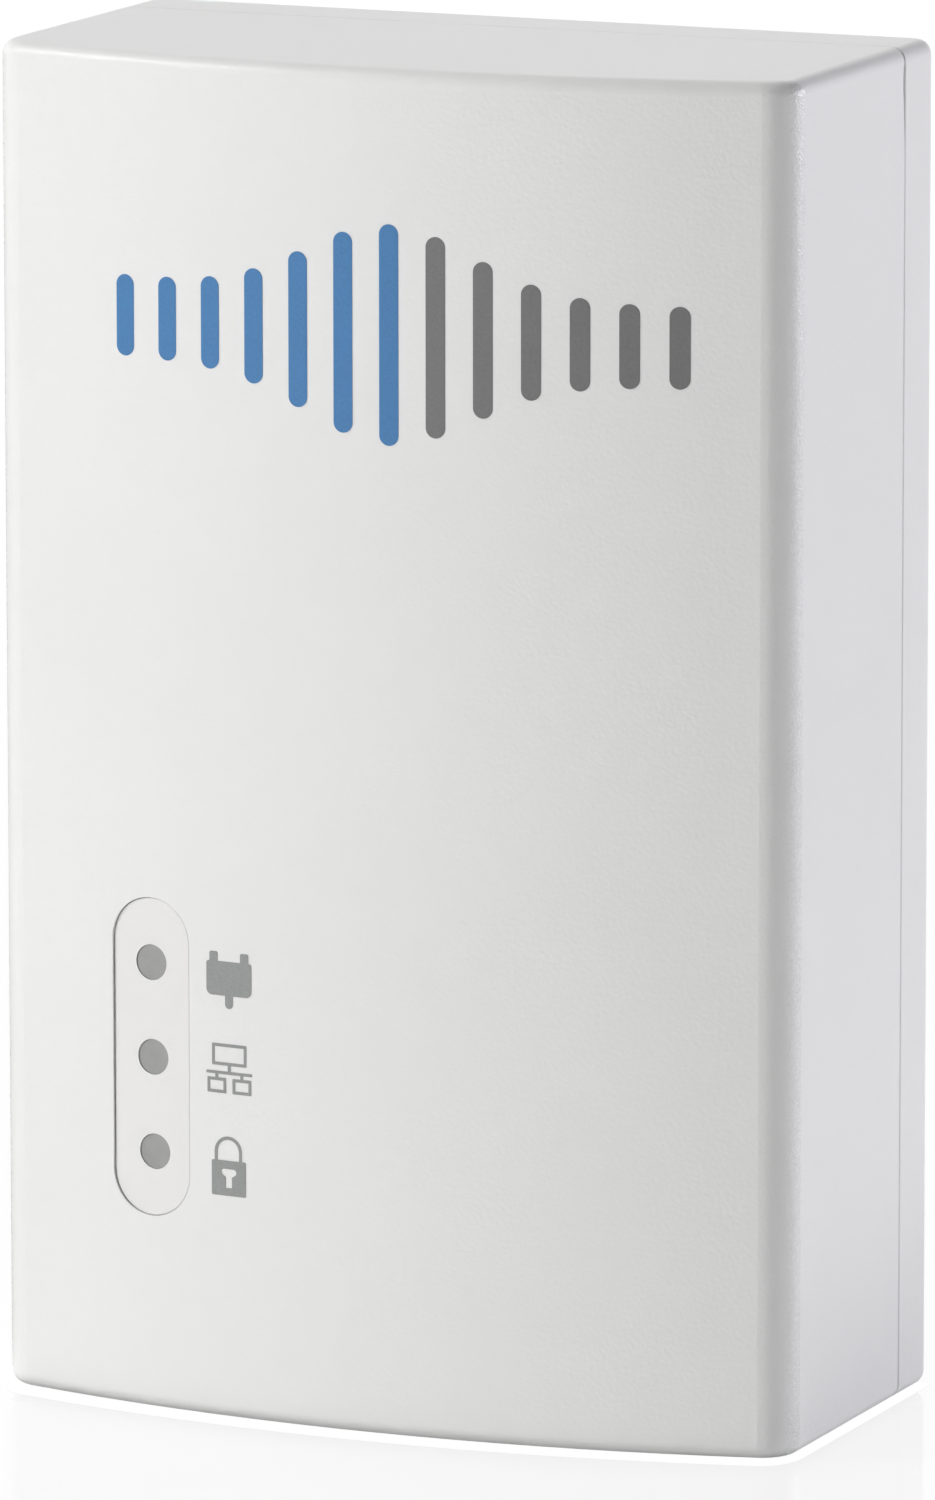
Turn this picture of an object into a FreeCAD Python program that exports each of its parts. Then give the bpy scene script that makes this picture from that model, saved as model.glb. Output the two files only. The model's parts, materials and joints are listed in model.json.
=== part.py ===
import FreeCAD, Part
import math
import os

# Wall-plug powerline network adapter: two-part casing, mains plug, power board, main board
# and network jack.
# Frame: +Z up, the front faces -Y, +X is to the right seen from the front.
# Origin: on the flat rear face (plane y = 0), midway between the two mains blades.
# All lengths in millimetres.

V = FreeCAD.Vector
AXES = {"x": V(1, 0, 0), "y": V(0, 1, 0), "z": V(0, 0, 1)}
os.makedirs("parts", exist_ok=True)

# ---------------------------------------------------------------- driving dimensions
# Casing
WIDTH = 65.8
Z_TOP, Z_BOTTOM = 24.0, -81.0
SIDE_DEPTH = 29.1        # rear face to the front vertical edges
BOW = 4.6                # bulge of the front face beyond SIDE_DEPTH at mid width
FRONT_ROUND = 3.2        # rounding of the two front vertical edges
REAR_ROUND = 1.6         # rounding of the two rear vertical edges
LOOP_ROUND = 1.15        # rounding of the top and bottom edge loops
WALL = 2.0               # front shell
COVER_WALL = 3.0         # side walls of the rear cover, tongue included
BOW_RADIUS = ((WIDTH / 2) ** 2 + BOW ** 2) / (2 * BOW)
BOW_CENTRE_Y = BOW_RADIUS - (SIDE_DEPTH + BOW)

# Seam between the two shells
SEAM = 6.6               # depth from the rear face
SEAM_GAP = 0.06          # open gap over most of the height
SEAM_TOP_GAP = 0.02      # gap across the top wall
SEAM_OPENING = 0.12      # extra gap at the bottom end, growing over SEAM_RUN
SEAM_RUN = 4.5
SEAM_ROUND = 0.16        # rounding of both edges at the seam
# (depth below the top, extra opening)
SEAM_WARP = [(9.4, 0.0), (6.4, 0.06), (3.6, 0.26), (2.0, 0.31), (0.9, 0.13)]
TONGUE_END = 9.1         # depth reached by the rear cover's inner tongue
SEAM_Y_FRONT = -SEAM - SEAM_GAP / 2
SEAM_Y_REAR = -SEAM + SEAM_GAP / 2

# Status window insert and its row of three windows
INSERT_X, INSERT_Z = -18.62, -53.35
INSERT_W, INSERT_H = 6.82, 24.78
INSERT_GAP = 0.040
INSERT_SHIFT = 0.022     # the insert sits against the right side of its opening
INSERT_SINK = 0.03       # the insert is nearly flush along its right edge
INSERT_TILT = 1.43       # degrees, sinks the left edge further
LED_RADIUS = 1.355
LED_X, LED_LEAN = -18.48, 0.13   # middle window, sideways step per window
LED_PITCH = 7.375
LED_Z = [INSERT_Z + LED_PITCH, INSERT_Z, INSERT_Z - LED_PITCH]
LED_POINTS = list(zip([LED_X - LED_LEAN, LED_X, LED_X + LED_LEAN], LED_Z))

# Mains plug
BLADE_X = 6.35           # half of the 12.7 blade spacing
BLADE_T, BLADE_W, BLADE_L = 1.52, 6.35, 17.5
BLADE_HOLE_R, BLADE_HOLE_Y = 1.6, 11.9
GROUND_Z, GROUND_R, GROUND_L = -11.9, 2.38, 20.6
PLUG_X, PLUG_Z0, PLUG_Z1 = 12.5, -20.0, 10.0     # half width, bottom and top
PLUG_ROUND = 3.5
PLUG_GAP = 0.1

# Rating plate recess: half width, bottom and top
LABEL_X, LABEL_Z0, LABEL_Z1 = 20.0, -65.0, -41.0
LABEL_GAP = 0.1

# Boards, lying across Y
BOARD_T = 1.6
POWER_REAR = -9.0
POWER_FRONT = POWER_REAR - BOARD_T     # its parts stand towards -Y
MAIN_REAR = -23.6
MAIN_FRONT = MAIN_REAR - BOARD_T


def four_points(x, z_upper, z_lower):
    return [(side * x, z) for side in (-1, 1) for z in (z_upper, z_lower)]


CORNERS = four_points(27.4, 18.5, -75.5)         # casing screws
MAIN_POSTS = four_points(26.5, 8.0, -62.0)
POWER_POSTS = four_points(23.5, 9.0, -49.0)
PLUG_SCREWS = [(-17.0, -5.0), (17.0, -5.0)]
BOSS_END = 9.3           # depth at which the corner bosses meet the cover's pillars

# Board-to-board header
PIN_PITCH = 2.54
HEADER_X, HEADER_Z = 12.0, -47.6
HEADER_XS = [HEADER_X - 2.5 * PIN_PITCH + PIN_PITCH * i for i in range(6)]

# Network jack, opening faces -Z, board side at JACK_Y0
JACK_X = -9.0
JACK_W, JACK_H, JACK_L = 16.0, 13.5, 21.3
JACK_X0, JACK_X1 = JACK_X - JACK_W / 2, JACK_X + JACK_W / 2
JACK_Y0, JACK_Y1 = MAIN_REAR, MAIN_REAR + JACK_H
JACK_Z0 = Z_BOTTOM + 0.3
JACK_Z1 = JACK_Z0 + JACK_L
SHIELD_T = 0.25
HOUSING_INSET = SHIELD_T + 0.05
HOUSING_Z0 = JACK_Z0 + HOUSING_INSET
PORT_Y0, PORT_Y1 = JACK_Y0 + 4.2, JACK_Y0 + 12.0    # latch side, contact side
CONTACT_XS = [JACK_X + (i - 3.5) * 1.02 for i in range(8)]

# Pairing button, reset hole and their side-push switches
BUTTON_X, RESET_X, BUTTON_Y = 9.5, 19.0, -20.4
SWITCH_XS = (BUTTON_X, RESET_X)
SWITCH_Z = -75.6         # front of the switch bodies, facing -Z

# Reach of the cutting tools
FAR_FRONT = -40          # ahead of the bowed front face
FAR_BELOW = -90


# ---------------------------------------------------------------- helpers
PIECES = []


def piece(build):
    """Register the builder of one piece; the function's name is the file name."""
    PIECES.append(build)
    return build


def box(x0, x1, y0, y1, z0, z1):
    """Box between two limits on each axis, given in either order."""
    x0, x1 = sorted((x0, x1))
    y0, y1 = sorted((y0, y1))
    z0, z1 = sorted((z0, z1))
    return Part.makeBox(x1 - x0, y1 - y0, z1 - z0, V(x0, y0, z0))


def block(x, z, width, height, y0, y1):
    """Box centred on x and z."""
    return box(x - width / 2, x + width / 2, y0, y1, z - height / 2, z + height / 2)


def slab(y0, y1, z0=-120, z1=60):
    """Box wider than the casing."""
    return box(-60, 60, y0, y1, z0, z1)


def cylinder(radius, x, y, z, length, axis="y"):
    return Part.makeCylinder(radius, length, V(x, y, z), AXES[axis])


def pegs(points, radius, y, length):
    """Cylinders along Y starting at y, one at each (x, z) point."""
    return [cylinder(radius, px, y, pz, length) for px, pz in points]


def union(shapes):
    return shapes[0].multiFuse(shapes[1:]).removeSplitter()


def parallel(edge, axis):
    """True for a straight edge along the axis."""
    if len(edge.Vertexes) != 2:
        return False
    d = edge.Vertexes[1].Point - edge.Vertexes[0].Point
    if d.Length < 1e-6 or abs(d.Length - edge.Length) > 1e-6:
        return False
    return abs(abs(getattr(d, axis)) - d.Length) < 1e-6


def round_box(x0, x1, y0, y1, z0, z1, radius, axis):
    """Box with its four edges along the axis rounded."""
    b = box(x0, x1, y0, y1, z0, z1)
    return b.makeFillet(radius, [e for e in b.Edges if parallel(e, axis)])


def soft_box(x0, x1, y0, y1, z0, z1, radius):
    """Box with all edges rounded."""
    b = box(x0, x1, y0, y1, z0, z1)
    return b.makeFillet(radius, b.Edges)


def chamfer_at_y(shape, y, size):
    """Chamfer the edges whose centres lie at y."""
    return shape.makeChamfer(size, [e for e in shape.Edges if abs(e.CenterOfMass.y - y) < 1e-6])


def slot(x, y, z, width, length, depth, along, through="y"):
    """Round-ended bar from the plane of the given point, long in one axis, deep in another."""
    start, radius = V(x, y, z), width / 2
    offset = AXES[along] * (length / 2 - radius)
    across = V(1, 1, 1) - AXES[along] - AXES[through]
    size = offset * 2 + across * width + AXES[through] * depth
    bar = Part.makeBox(size.x, size.y, size.z, start - offset - across * radius)
    ends = [Part.makeCylinder(radius, depth, centre, AXES[through])
            for centre in (start - offset, start + offset)]
    return union([bar] + ends)


def polygon_face(points):
    return Part.Face(Part.makePolygon(points + [points[0]]))


def revolve(profile, origin, direction):
    """Turn (radius, height) pairs about the direction through the origin."""
    direction, origin = V(*direction), V(*origin)
    side = V(1, 0, 0) if abs(direction.x) < 0.5 else V(0, 1, 0)
    points = [origin + side * r + direction * h for r, h in profile]
    return polygon_face(points).revolve(origin, direction, 360)


def tube(points, radius):
    curve = Part.BSplineCurve()
    curve.interpolate([V(*p) for p in points])
    first = curve.FirstParameter
    circle = Part.makeCircle(radius, curve.value(first), curve.tangent(first)[0])
    return Part.Wire([curve.toShape()]).makePipeShell([Part.Wire([circle])], True, False)


# ---------------------------------------------------------------- casing form
def casing_form(inset, y_rear=5.0):
    """The casing's outer form moved inward, with only its front vertical edges rounded."""
    x = WIDTH / 2 - inset
    radius = BOW_RADIUS - inset
    y_side = BOW_CENTRE_Y - math.sqrt(radius * radius - x * x)
    z0, z1 = Z_BOTTOM + inset, Z_TOP - inset
    rear_left, front_left = V(-x, y_rear, z0), V(-x, y_side, z0)
    front_right, rear_right = V(x, y_side, z0), V(x, y_rear, z0)
    bow = Part.Arc(front_left, V(0, BOW_CENTRE_Y - radius, z0), front_right).toShape()
    wire = Part.Wire([Part.makeLine(rear_left, front_left), bow,
                      Part.makeLine(front_right, rear_right),
                      Part.makeLine(rear_right, rear_left)])
    form = Part.Face(wire).extrude(V(0, 0, z1 - z0))
    front = [e for e in form.Edges if parallel(e, "z") and e.CenterOfMass.y < -10]
    return form.makeFillet(max(FRONT_ROUND - inset, 0.6), front)


def outer_form():
    form = casing_form(0.0, y_rear=0.0)
    rear = [e for e in form.Edges if parallel(e, "z") and abs(e.CenterOfMass.y) < 1e-3]
    form = form.makeFillet(REAR_ROUND, rear)
    loops = [e for e in form.Edges if abs(e.BoundBox.ZLength) < 1e-4]
    return form.makeFillet(LOOP_ROUND, loops)


OUTER = outer_form()


# ---------------------------------------------------------------- front shell
def curved_slab(curve, corners):
    """Full-width slab bounded by a curve at x = -60 and by lines through the corners."""
    lines = [Part.makeLine(a, b) for a, b in zip(corners, corners[1:])]
    return Part.Face(Part.Wire([curve] + lines)).extrude(V(120, 0, 0))


def bottom_relief():
    """Shallow curved relief of the front shell's rear edge towards the bottom."""
    z_start = Z_BOTTOM + SEAM_RUN
    y_end = SEAM_Y_FRONT - SEAM_OPENING
    start = V(-60, SEAM_Y_FRONT, z_start)
    middle = V(-60, SEAM_Y_FRONT - SEAM_OPENING / 4, (z_start + Z_BOTTOM) / 2)
    end = V(-60, y_end, Z_BOTTOM)
    corners = [end, V(-60, y_end, Z_BOTTOM - 2), V(-60, SEAM_Y_FRONT + 1, Z_BOTTOM - 2),
               V(-60, SEAM_Y_FRONT + 1, z_start), start]
    return curved_slab(Part.Arc(start, middle, end).toShape(), corners)


def top_warp():
    """Near the top the front shell's rear edge bows away from the cover, then closes."""
    y_top = SEAM_Y_FRONT + SEAM_GAP - SEAM_TOP_GAP
    knots = [V(-60, SEAM_Y_FRONT - opening, Z_TOP - depth) for depth, opening in SEAM_WARP]
    knots.append(V(-60, y_top, Z_TOP + 0.1))
    curve = Part.BSplineCurve()
    curve.interpolate(knots)
    corners = [knots[-1], V(-60, y_top, Z_TOP + 5), V(-60, 5, Z_TOP + 5),
               V(-60, 5, knots[0].z), knots[0]]
    return curved_slab(curve.toShape(), corners)


def front_blank():
    """Solid front part of the casing, rounded along the seam."""
    behind = slab(SEAM_Y_FRONT, 5, z1=Z_TOP - SEAM_WARP[0][0])
    blank = OUTER.cut(union([behind, top_warp(), bottom_relief()]))
    rim = []
    for edge in blank.Edges:
        bb = edge.BoundBox
        # leave out the edges that run across the width, except at the very bottom
        across = bb.XLength > 50 and bb.ZMin > Z_BOTTOM + 0.1
        if bb.YMin > SEAM_Y_FRONT - 0.5 and bb.YMax < SEAM_Y_FRONT + 0.1 and not across:
            rim.append(edge)
    return blank.makeFillet(SEAM_ROUND, rim)


def front_fittings():
    """Corner bosses, board posts, button guides and stiffening ribs."""
    fittings = []
    for x, z in CORNERS:
        side, end = math.copysign(1, x), math.copysign(1, z)
        fittings.append(cylinder(3.2, x, FAR_FRONT, z, -BOSS_END - FAR_FRONT))
        fittings.append(box(x, x + side * 5, FAR_FRONT, -BOSS_END, z - end, z + end * 5))
    for x, z in MAIN_POSTS:
        side = math.copysign(1, x)
        fittings.append(cylinder(2.4, x, FAR_FRONT, z, MAIN_FRONT - FAR_FRONT))
        fittings.append(box(x, x + side * 6, FAR_FRONT, MAIN_FRONT, z - 0.6, z + 0.6))
    for x in (BUTTON_X - 5.9, BUTTON_X + 4.9):
        fittings.append(box(x, x + 1.0, BUTTON_Y - 2.9, BUTTON_Y + 3.0, -80.0, -77.5))
    for z in (-8.0, -38.0):
        rib = block(0, z, 63.0, 1.0, FAR_FRONT, -27.6)
        fittings.append(rib.cut(box(-28.0, 28.0, -29.6, -20, -120, 60)))
    limit = casing_form(1.0)
    return [fitting.common(limit) for fitting in fittings]


def front_openings():
    """Screw holes, then the jack, button, reset and vent openings of the bottom wall."""
    cuts = pegs(CORNERS, 1.27, -26.0, 20) + pegs(MAIN_POSTS, 0.98, -28.7, 6)
    cuts.append(round_box(JACK_X - 8.3, JACK_X + 8.3, -23.9, -9.8, FAR_BELOW, -78, 0.5, "z"))
    cuts.append(slot(BUTTON_X, BUTTON_Y, FAR_BELOW, 3.8, 7.2, 12, "x", "z"))
    cuts.append(cylinder(1.0, RESET_X, BUTTON_Y, FAR_BELOW, 12, "z"))
    for i in range(13):
        cuts.append(slot(-18.0 + 3.0 * i, -27.9, FAR_BELOW, 1.3, 3.4, 11.5, "y", "z"))
    return cuts


@piece
def front_shell():
    shell = front_blank().cut(casing_form(WALL))
    shell = union([shell] + front_fittings())
    shell = shell.cut(front_openings())
    # opening of the status window, its front edge slightly rounded
    shell = shell.cut(slot(INSERT_X, FAR_FRONT, INSERT_Z, INSERT_W + 2 * INSERT_GAP,
                           INSERT_H + 2 * INSERT_GAP, 14, "z"))
    rim = []
    for edge in shell.Edges:
        c, bb = edge.CenterOfMass, edge.BoundBox
        near = (abs(c.x - INSERT_X) < INSERT_W / 2 + 0.3
                and abs(c.z - INSERT_Z) < INSERT_H / 2 + 0.3
                and bb.XLength < INSERT_W + 0.3)
        in_front = c.y < -31.0 and bb.YMin < -31.2 and bb.YLength < 0.8
        if near and in_front and bb.ZLength + bb.XLength > 1.0:
            rim.append(edge)
    return shell.makeFillet(0.06, rim)


# ---------------------------------------------------------------- rear cover
def rear_blank():
    """Solid rear part of the casing, rounded along the seam except across the top."""
    blank = OUTER.common(slab(SEAM_Y_REAR, 5))
    rim = []
    for edge in blank.Edges:
        bb = edge.BoundBox
        on_seam = bb.YLength < 1e-4 and abs(bb.YMin - SEAM_Y_REAR) < 1e-4
        if on_seam and bb.ZMin < Z_TOP - 0.1:
            rim.append(edge)
    return blank.makeFillet(SEAM_ROUND, rim)


def rear_fittings(inside):
    """Tongue, screw pillars, board posts, plug frame and ribs."""
    tongue_form = casing_form(WALL + 0.1)
    fittings = [tongue_form.common(slab(-TONGUE_END, -SEAM + 0.6)).cut(inside)]
    for pillar in pegs(CORNERS, 3.4, -BOSS_END + 0.1, BOSS_END - 1.6):
        fittings.append(pillar.common(tongue_form))
    fittings += pegs(POWER_POSTS, 2.6, POWER_REAR, -POWER_REAR - 1.0)
    fittings.append(round_box(-20.6, 20.6, -3.6, -1.5, -23.0, 13.0, 2.0, "y"))
    for x in (-24.0, 24.0):
        fittings.append(box(x - 0.5, x + 0.5, -4.0, -1.5, -70.0, -52.5))
    for z in (-68.5, 16.5):
        fittings.append(block(0, z, 40.0, 1.0, -4.0, -1.5))
    # ribs that hold the network jack down on its board when the casing is closed
    for x in (JACK_X - 4.6, JACK_X + 4.6):
        fittings.append(box(x - 0.5, x + 0.5, -9.95, -1.5, -77.0, -70.5))
    fittings.append(block(JACK_X, -74.9, 10.0, 1.0, -9.2, -1.5))
    return fittings


def rear_openings():
    """Screw holes, plug opening, rating plate recess and vents."""
    cuts = []
    for x, z in CORNERS:
        cuts += [cylinder(2.7, x, -2.4, z, 5), cylinder(1.45, x, -12, z, 15)]
    cuts += pegs(POWER_POSTS, 0.98, -9.5, 5.5)
    cuts.append(round_box(-PLUG_X - PLUG_GAP, PLUG_X + PLUG_GAP, -6, 3, PLUG_Z0 - PLUG_GAP,
                          PLUG_Z1 + PLUG_GAP, PLUG_ROUND + PLUG_GAP, "y"))
    cuts += pegs(PLUG_SCREWS, 0.93, -4, 3.2)
    cuts.append(round_box(-LABEL_X, LABEL_X, -0.16, 3, LABEL_Z0, LABEL_Z1, 1.6, "y"))
    for i in range(5):
        for x in (-11.0, 11.0):
            cuts.append(slot(x, -6, -26.2 - 2.6 * i, 1.3, 13.0, 9, "x"))
    return cuts


@piece
def rear_cover():
    inside = casing_form(COVER_WALL)
    cover = rear_blank().cut(inside.common(slab(-60, -WALL)))
    cover = union([cover] + rear_fittings(inside))
    return cover.cut(rear_openings())


@piece
def rear_label():
    """Blank rating plate in its recess."""
    x = LABEL_X - LABEL_GAP
    return round_box(-x, x, -0.15, -0.03, LABEL_Z0 + LABEL_GAP, LABEL_Z1 - LABEL_GAP, 1.5, "y")


# ---------------------------------------------------------------- status window
def insert_form(depth):
    """The casing's front form, lowered by depth and turned about the insert's right edge."""
    form = casing_form(INSERT_SINK + depth)
    form.rotate(V(INSERT_X + INSERT_W / 2, -32.8, 0), V(0, 0, 1), -INSERT_TILT)
    return form


@piece
def led_bezel():
    """Insert that follows the bowed front, with a hidden flange behind the wall."""
    bezel = slot(INSERT_X + INSERT_SHIFT, FAR_FRONT, INSERT_Z, INSERT_W, INSERT_H, 10.8, "z")
    bezel = bezel.common(insert_form(0.0))
    rim = [e for e in bezel.Edges if e.CenterOfMass.y < -31.3 and e.BoundBox.YMax < -31.0]
    bezel = bezel.makeFillet(0.07, rim)
    flange_zone = casing_form(WALL + 0.05).cut(casing_form(WALL + 1.25))
    flange = slot(INSERT_X, FAR_FRONT, INSERT_Z, INSERT_W + 3.0, INSERT_H + 3.0, 14, "z")
    flange = flange.common(flange_zone)
    bezel = union([bezel.cut(slab(-29.6, 0)), flange])
    return bezel.cut(pegs(LED_POINTS, LED_RADIUS + 0.03, FAR_FRONT, 15))


@piece
def light_pipe():
    """Three round rods, their faces just inside the insert, on one padded bar."""
    face = insert_form(0.09)
    rods = [rod.common(face) for rod in pegs(LED_POINTS, LED_RADIUS, FAR_FRONT, 13.6)]
    x0, x1 = INSERT_X - 1.2, INSERT_X + 1.2
    z0, z1 = LED_Z[2] - 1.9, LED_Z[0] + 1.9
    return union(rods + [box(x0, x1, -28.2, -26.9, z0, z1),
                         box(x0, x1, -28.6, -26.9, z1, z1 + 1.2),
                         box(x0, x1, -28.6, -26.9, z0 - 1.2, z0)])


# ---------------------------------------------------------------- pairing button
@piece
def pair_button():
    """Rounded head in the bottom wall, flange inside, stem to its switch."""
    z_face = -80.7
    head = slot(BUTTON_X, BUTTON_Y, z_face, 3.6, 7.0, 2.3, "x", "z")
    rim = [e for e in head.Edges
           if e.BoundBox.ZLength < 1e-4 and abs(e.BoundBox.ZMin - z_face) < 1e-4]
    head = head.makeFillet(0.35, rim)
    flange = round_box(BUTTON_X - 4.7, BUTTON_X + 4.7, BUTTON_Y - 2.6, BUTTON_Y + 2.6,
                       -78.9, -78.2, 0.8, "z")
    return union([head, flange, cylinder(1.2, BUTTON_X, BUTTON_Y, -78.5, 1.08, "z")])


# ---------------------------------------------------------------- mains plug
@piece
def plug_insert():
    insert = round_box(-PLUG_X, PLUG_X, -4.0, 0, PLUG_Z0, PLUG_Z1, PLUG_ROUND, "y")
    rim = [e for e in insert.Edges
           if e.BoundBox.YLength < 1e-4 and abs(e.BoundBox.YMin) < 1e-4]
    insert = insert.makeFillet(0.25, rim)
    flange = round_box(-19.8, 19.8, -5.9, -3.65, PLUG_Z0 - 1.5, PLUG_Z1 + 1.5, 2.5, "y")
    cuts = []
    for x in (-BLADE_X, BLADE_X):
        cuts.append(block(x, 0, BLADE_T + 0.04, BLADE_W + 0.04, -2.0, 1))
        cuts.append(block(x, 0, 1.04, 4.04, -7, 1))
    cuts += pegs(PLUG_SCREWS, 1.15, -7, 5)
    cuts.append(cylinder(GROUND_R + 0.02, 0, -0.12, GROUND_Z, 2))
    cuts.append(cylinder(1.82, 0, -7, GROUND_Z, 8))
    return union([insert, flange]).cut(cuts)


def blade(x):
    """Flat blade, its tip tapered in both views, with a narrow tail inside the casing."""
    t, w, end = BLADE_T / 2, BLADE_W / 2, BLADE_L
    # (y, z)
    side_view = [(-2.0, -w), (end - 2.2, -w), (end, -w + 1.7), (end, w - 1.7),
                 (end - 2.2, w), (-2.0, w)]
    # (x from the middle of the blade, y)
    top_view = [(-t, -2.0), (-t, end - 1.6), (-0.35, end), (0.35, end), (t, end - 1.6),
                (t, -2.0)]
    side = polygon_face([V(x - t, y, z) for y, z in side_view]).extrude(V(2 * t, 0, 0))
    top = polygon_face([V(x + dx, y, -w - 1) for dx, y in top_view])
    body = side.common(top.extrude(V(0, 0, 2 * w + 2)))
    body = body.fuse(block(x, 0, 1.0, 4.0, -7.6, -1.9)).removeSplitter()
    return body.cut(cylinder(BLADE_HOLE_R, x - 3, BLADE_HOLE_Y, 0, 6, "x"))


@piece
def line_blade():
    return blade(BLADE_X)


@piece
def neutral_blade():
    return blade(-BLADE_X)


@piece
def ground_pin():
    """Round pin with an elliptical nose, stepped thinner inside the plug."""
    steps, nose_length = 9, 3.2
    nose = []
    for i in range(steps + 1):
        angle = math.pi / 2 * i / steps
        nose.append((GROUND_R - 1.35 * (1 - math.cos(angle)),
                     GROUND_L - nose_length + nose_length * math.sin(angle)))
    stem = [(0, -8.0), (1.2, -8.0), (1.2, -6.1), (1.8, -6.1), (1.8, 0.0), (GROUND_R, 0.0)]
    return revolve(stem + nose + [(0, GROUND_L)], (0, 0, GROUND_Z), (0, 1, 0))


# ---------------------------------------------------------------- leads
def lead(points):
    """Insulated wire that ends flat on the power board."""
    return tube(points, 0.8).cut(slab(-12, POWER_REAR + 0.01))


def blade_lead(side):
    # (distance from x = 0, y, z)
    path = [(BLADE_X + 0.66, -7.0, 1.0), (8.6, -7.0, 1.3), (11.0, -7.1, 3.2),
            (12.4, -7.9, 5.2), (12.8, -9.6, 5.8)]
    return lead([(side * x, y, z) for x, y, z in path])


@piece
def line_lead():
    return blade_lead(1)


@piece
def neutral_lead():
    return blade_lead(-1)


@piece
def ground_lead():
    # (x, y, z from the ground pin)
    path = [(1.42, -7.1, 0), (4.0, -7.1, -0.3), (7.0, -7.2, -2.4), (8.6, -8.0, -4.0),
            (9.0, -9.6, -4.5)]
    return lead([(x, y, GROUND_Z + dz) for x, y, dz in path])


# ---------------------------------------------------------------- screws
def screw(x, z, seat, side, head_r, head_h, shank_r, length, cross_l, cross_d, cross_w):
    """Cross-recess screw along Y, its head on the given side (+1 rear, -1 front) of the seat.

    cross_l and cross_w are half the length and width of the recess arms, cross_d the depth.
    """
    head = revolve([(0, 0), (head_r, 0), (head_r, head_h * 0.45),
                    (head_r * 0.86, head_h * 0.82), (head_r * 0.55, head_h), (0, head_h)],
                   (x, seat, z), (0, side, 0))
    # shallow ring grooves stand for the thread; the point is blunt
    profile = [(0, 0), (shank_r, 0)]
    pitch, root_r = 1.0, shank_r - 0.16
    at = 1.4
    while at + pitch < length - 0.8:
        profile += [(shank_r, at), (root_r, at + pitch * 0.35), (root_r, at + pitch * 0.6),
                    (shank_r, at + pitch)]
        at += pitch
    profile += [(shank_r, length - 0.7), (shank_r * 0.5, length), (0, length)]
    shank = revolve(profile, (x, seat, z), (0, -side, 0))
    top = seat + side * head_h
    floor, above = top - side * cross_d, top + side * 0.5
    return head.fuse(shank).cut([block(x, z, 2 * cross_l, 2 * cross_w, floor, above),
                                 block(x, z, 2 * cross_w, 2 * cross_l, floor, above)])


def screws(points, *sizes):
    """One screw per (x, z) point; sizes follow the order of screw() from seat on."""
    return Part.makeCompound([screw(x, z, *sizes) for x, z in points])


@piece
def plug_screws():
    return screws(PLUG_SCREWS, -5.9, -1, 1.9, 1.4, 0.92, 4.9, 1.1, 0.8, 0.26)


@piece
def housing_screws():
    return screws(CORNERS, -2.4, 1, 2.45, 1.8, 1.25, 17.0, 1.45, 1.1, 0.36)


@piece
def power_board_screws():
    return screws(POWER_POSTS, POWER_FRONT, -1, 2.0, 1.5, 0.96, 6.4, 1.15, 0.8, 0.26)


@piece
def board_screws():
    return screws(MAIN_POSTS, MAIN_REAR, 1, 2.0, 1.3, 0.96, 4.9, 1.15, 0.7, 0.26)


# ---------------------------------------------------------------- power board and its parts
def legs(points, y, radius=0.3):
    """Round legs from y back to the power board."""
    return pegs(points, radius, y, POWER_FRONT - y)


@piece
def power_board():
    board = box(-27.5, 27.5, POWER_FRONT, POWER_REAR, -54.0, 21.0)
    cuts = [box(22.8, 30, -12, -8, 14.0, 25), box(-30, -22.8, -12, -8, 14.0, 25)]
    cuts += pegs(POWER_POSTS, 1.15, -12, 5)
    cuts += [slot(-3.0, -12, -31.6, 1.2, 17.0, 4, "x"), slot(15.5, -12, -35.2, 1.2, 12.0, 4, "x")]
    return board.cut(cuts)


@piece
def fuse():
    """Radial fuse."""
    x, z = -16.4, 13.6
    can = revolve([(0, 0), (4.0, 0), (4.2, 0.3), (4.2, 7.2), (3.8, 7.7), (0, 7.7)],
                  (x, POWER_FRONT - 0.6, z), (0, -1, 0))
    return union([can] + legs([(x - 2.5, z), (x + 2.5, z)], POWER_FRONT - 0.8))


@piece
def varistor():
    """Disc on two legs, square to the board."""
    disc = revolve([(0, 0), (4.2, 0), (5.0, 0.5), (5.2, 1.2), (5.2, 2.8), (5.0, 3.5),
                    (4.2, 4.0), (0, 4.0)], (-10.6, POWER_FRONT - 6.1, 14.0), (1, 0, 0))
    return union([disc] + legs([(-8.6, 11.6), (-8.6, 16.4)], POWER_FRONT - 2.4))


@piece
def x_capacitor():
    """Suppression film capacitor."""
    case = soft_box(-3.2, 14.8, POWER_FRONT - 11.2, POWER_FRONT - 0.3, 11.2, 19.4, 0.5)
    return union([case] + legs([(-1.7, 15.3), (13.3, 15.3)], POWER_FRONT - 1.0, 0.35))


# Common-mode choke lying flat: rear centre of its ring core
CHOKE = (-18.2, POWER_FRONT - 1.8, -5.0)


@piece
def choke_core():
    return revolve([(4.0, 0), (7.0, 0), (7.3, 0.3), (7.3, 5.7), (7.0, 6.0), (4.0, 6.0),
                    (3.7, 5.7), (3.7, 0.3)], CHOKE, (0, -1, 0))


@piece
def choke_windings():
    """Two facing groups of six turns, each a rectangular loop around the core."""
    turns = []
    for start in (0, 180):
        for i in range(6):
            turn = box(2.75, 8.25, -7.2, 0.95, -0.36, 0.36)
            turn = turn.cut(box(3.62, 7.38, -6.05, 0.05, -1, 1))
            turn = turn.makeFillet(0.35, [
                e for e in turn.Edges
                if parallel(e, "z") and (e.CenterOfMass.x < 3 or e.CenterOfMass.x > 8)])
            turn.rotate(V(0, 0, 0), V(0, 1, 0), start + (i - 2.5) * 20.0)
            turn.translate(V(*CHOKE))
            turns.append(turn)
    return Part.makeCompound(turns)


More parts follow.
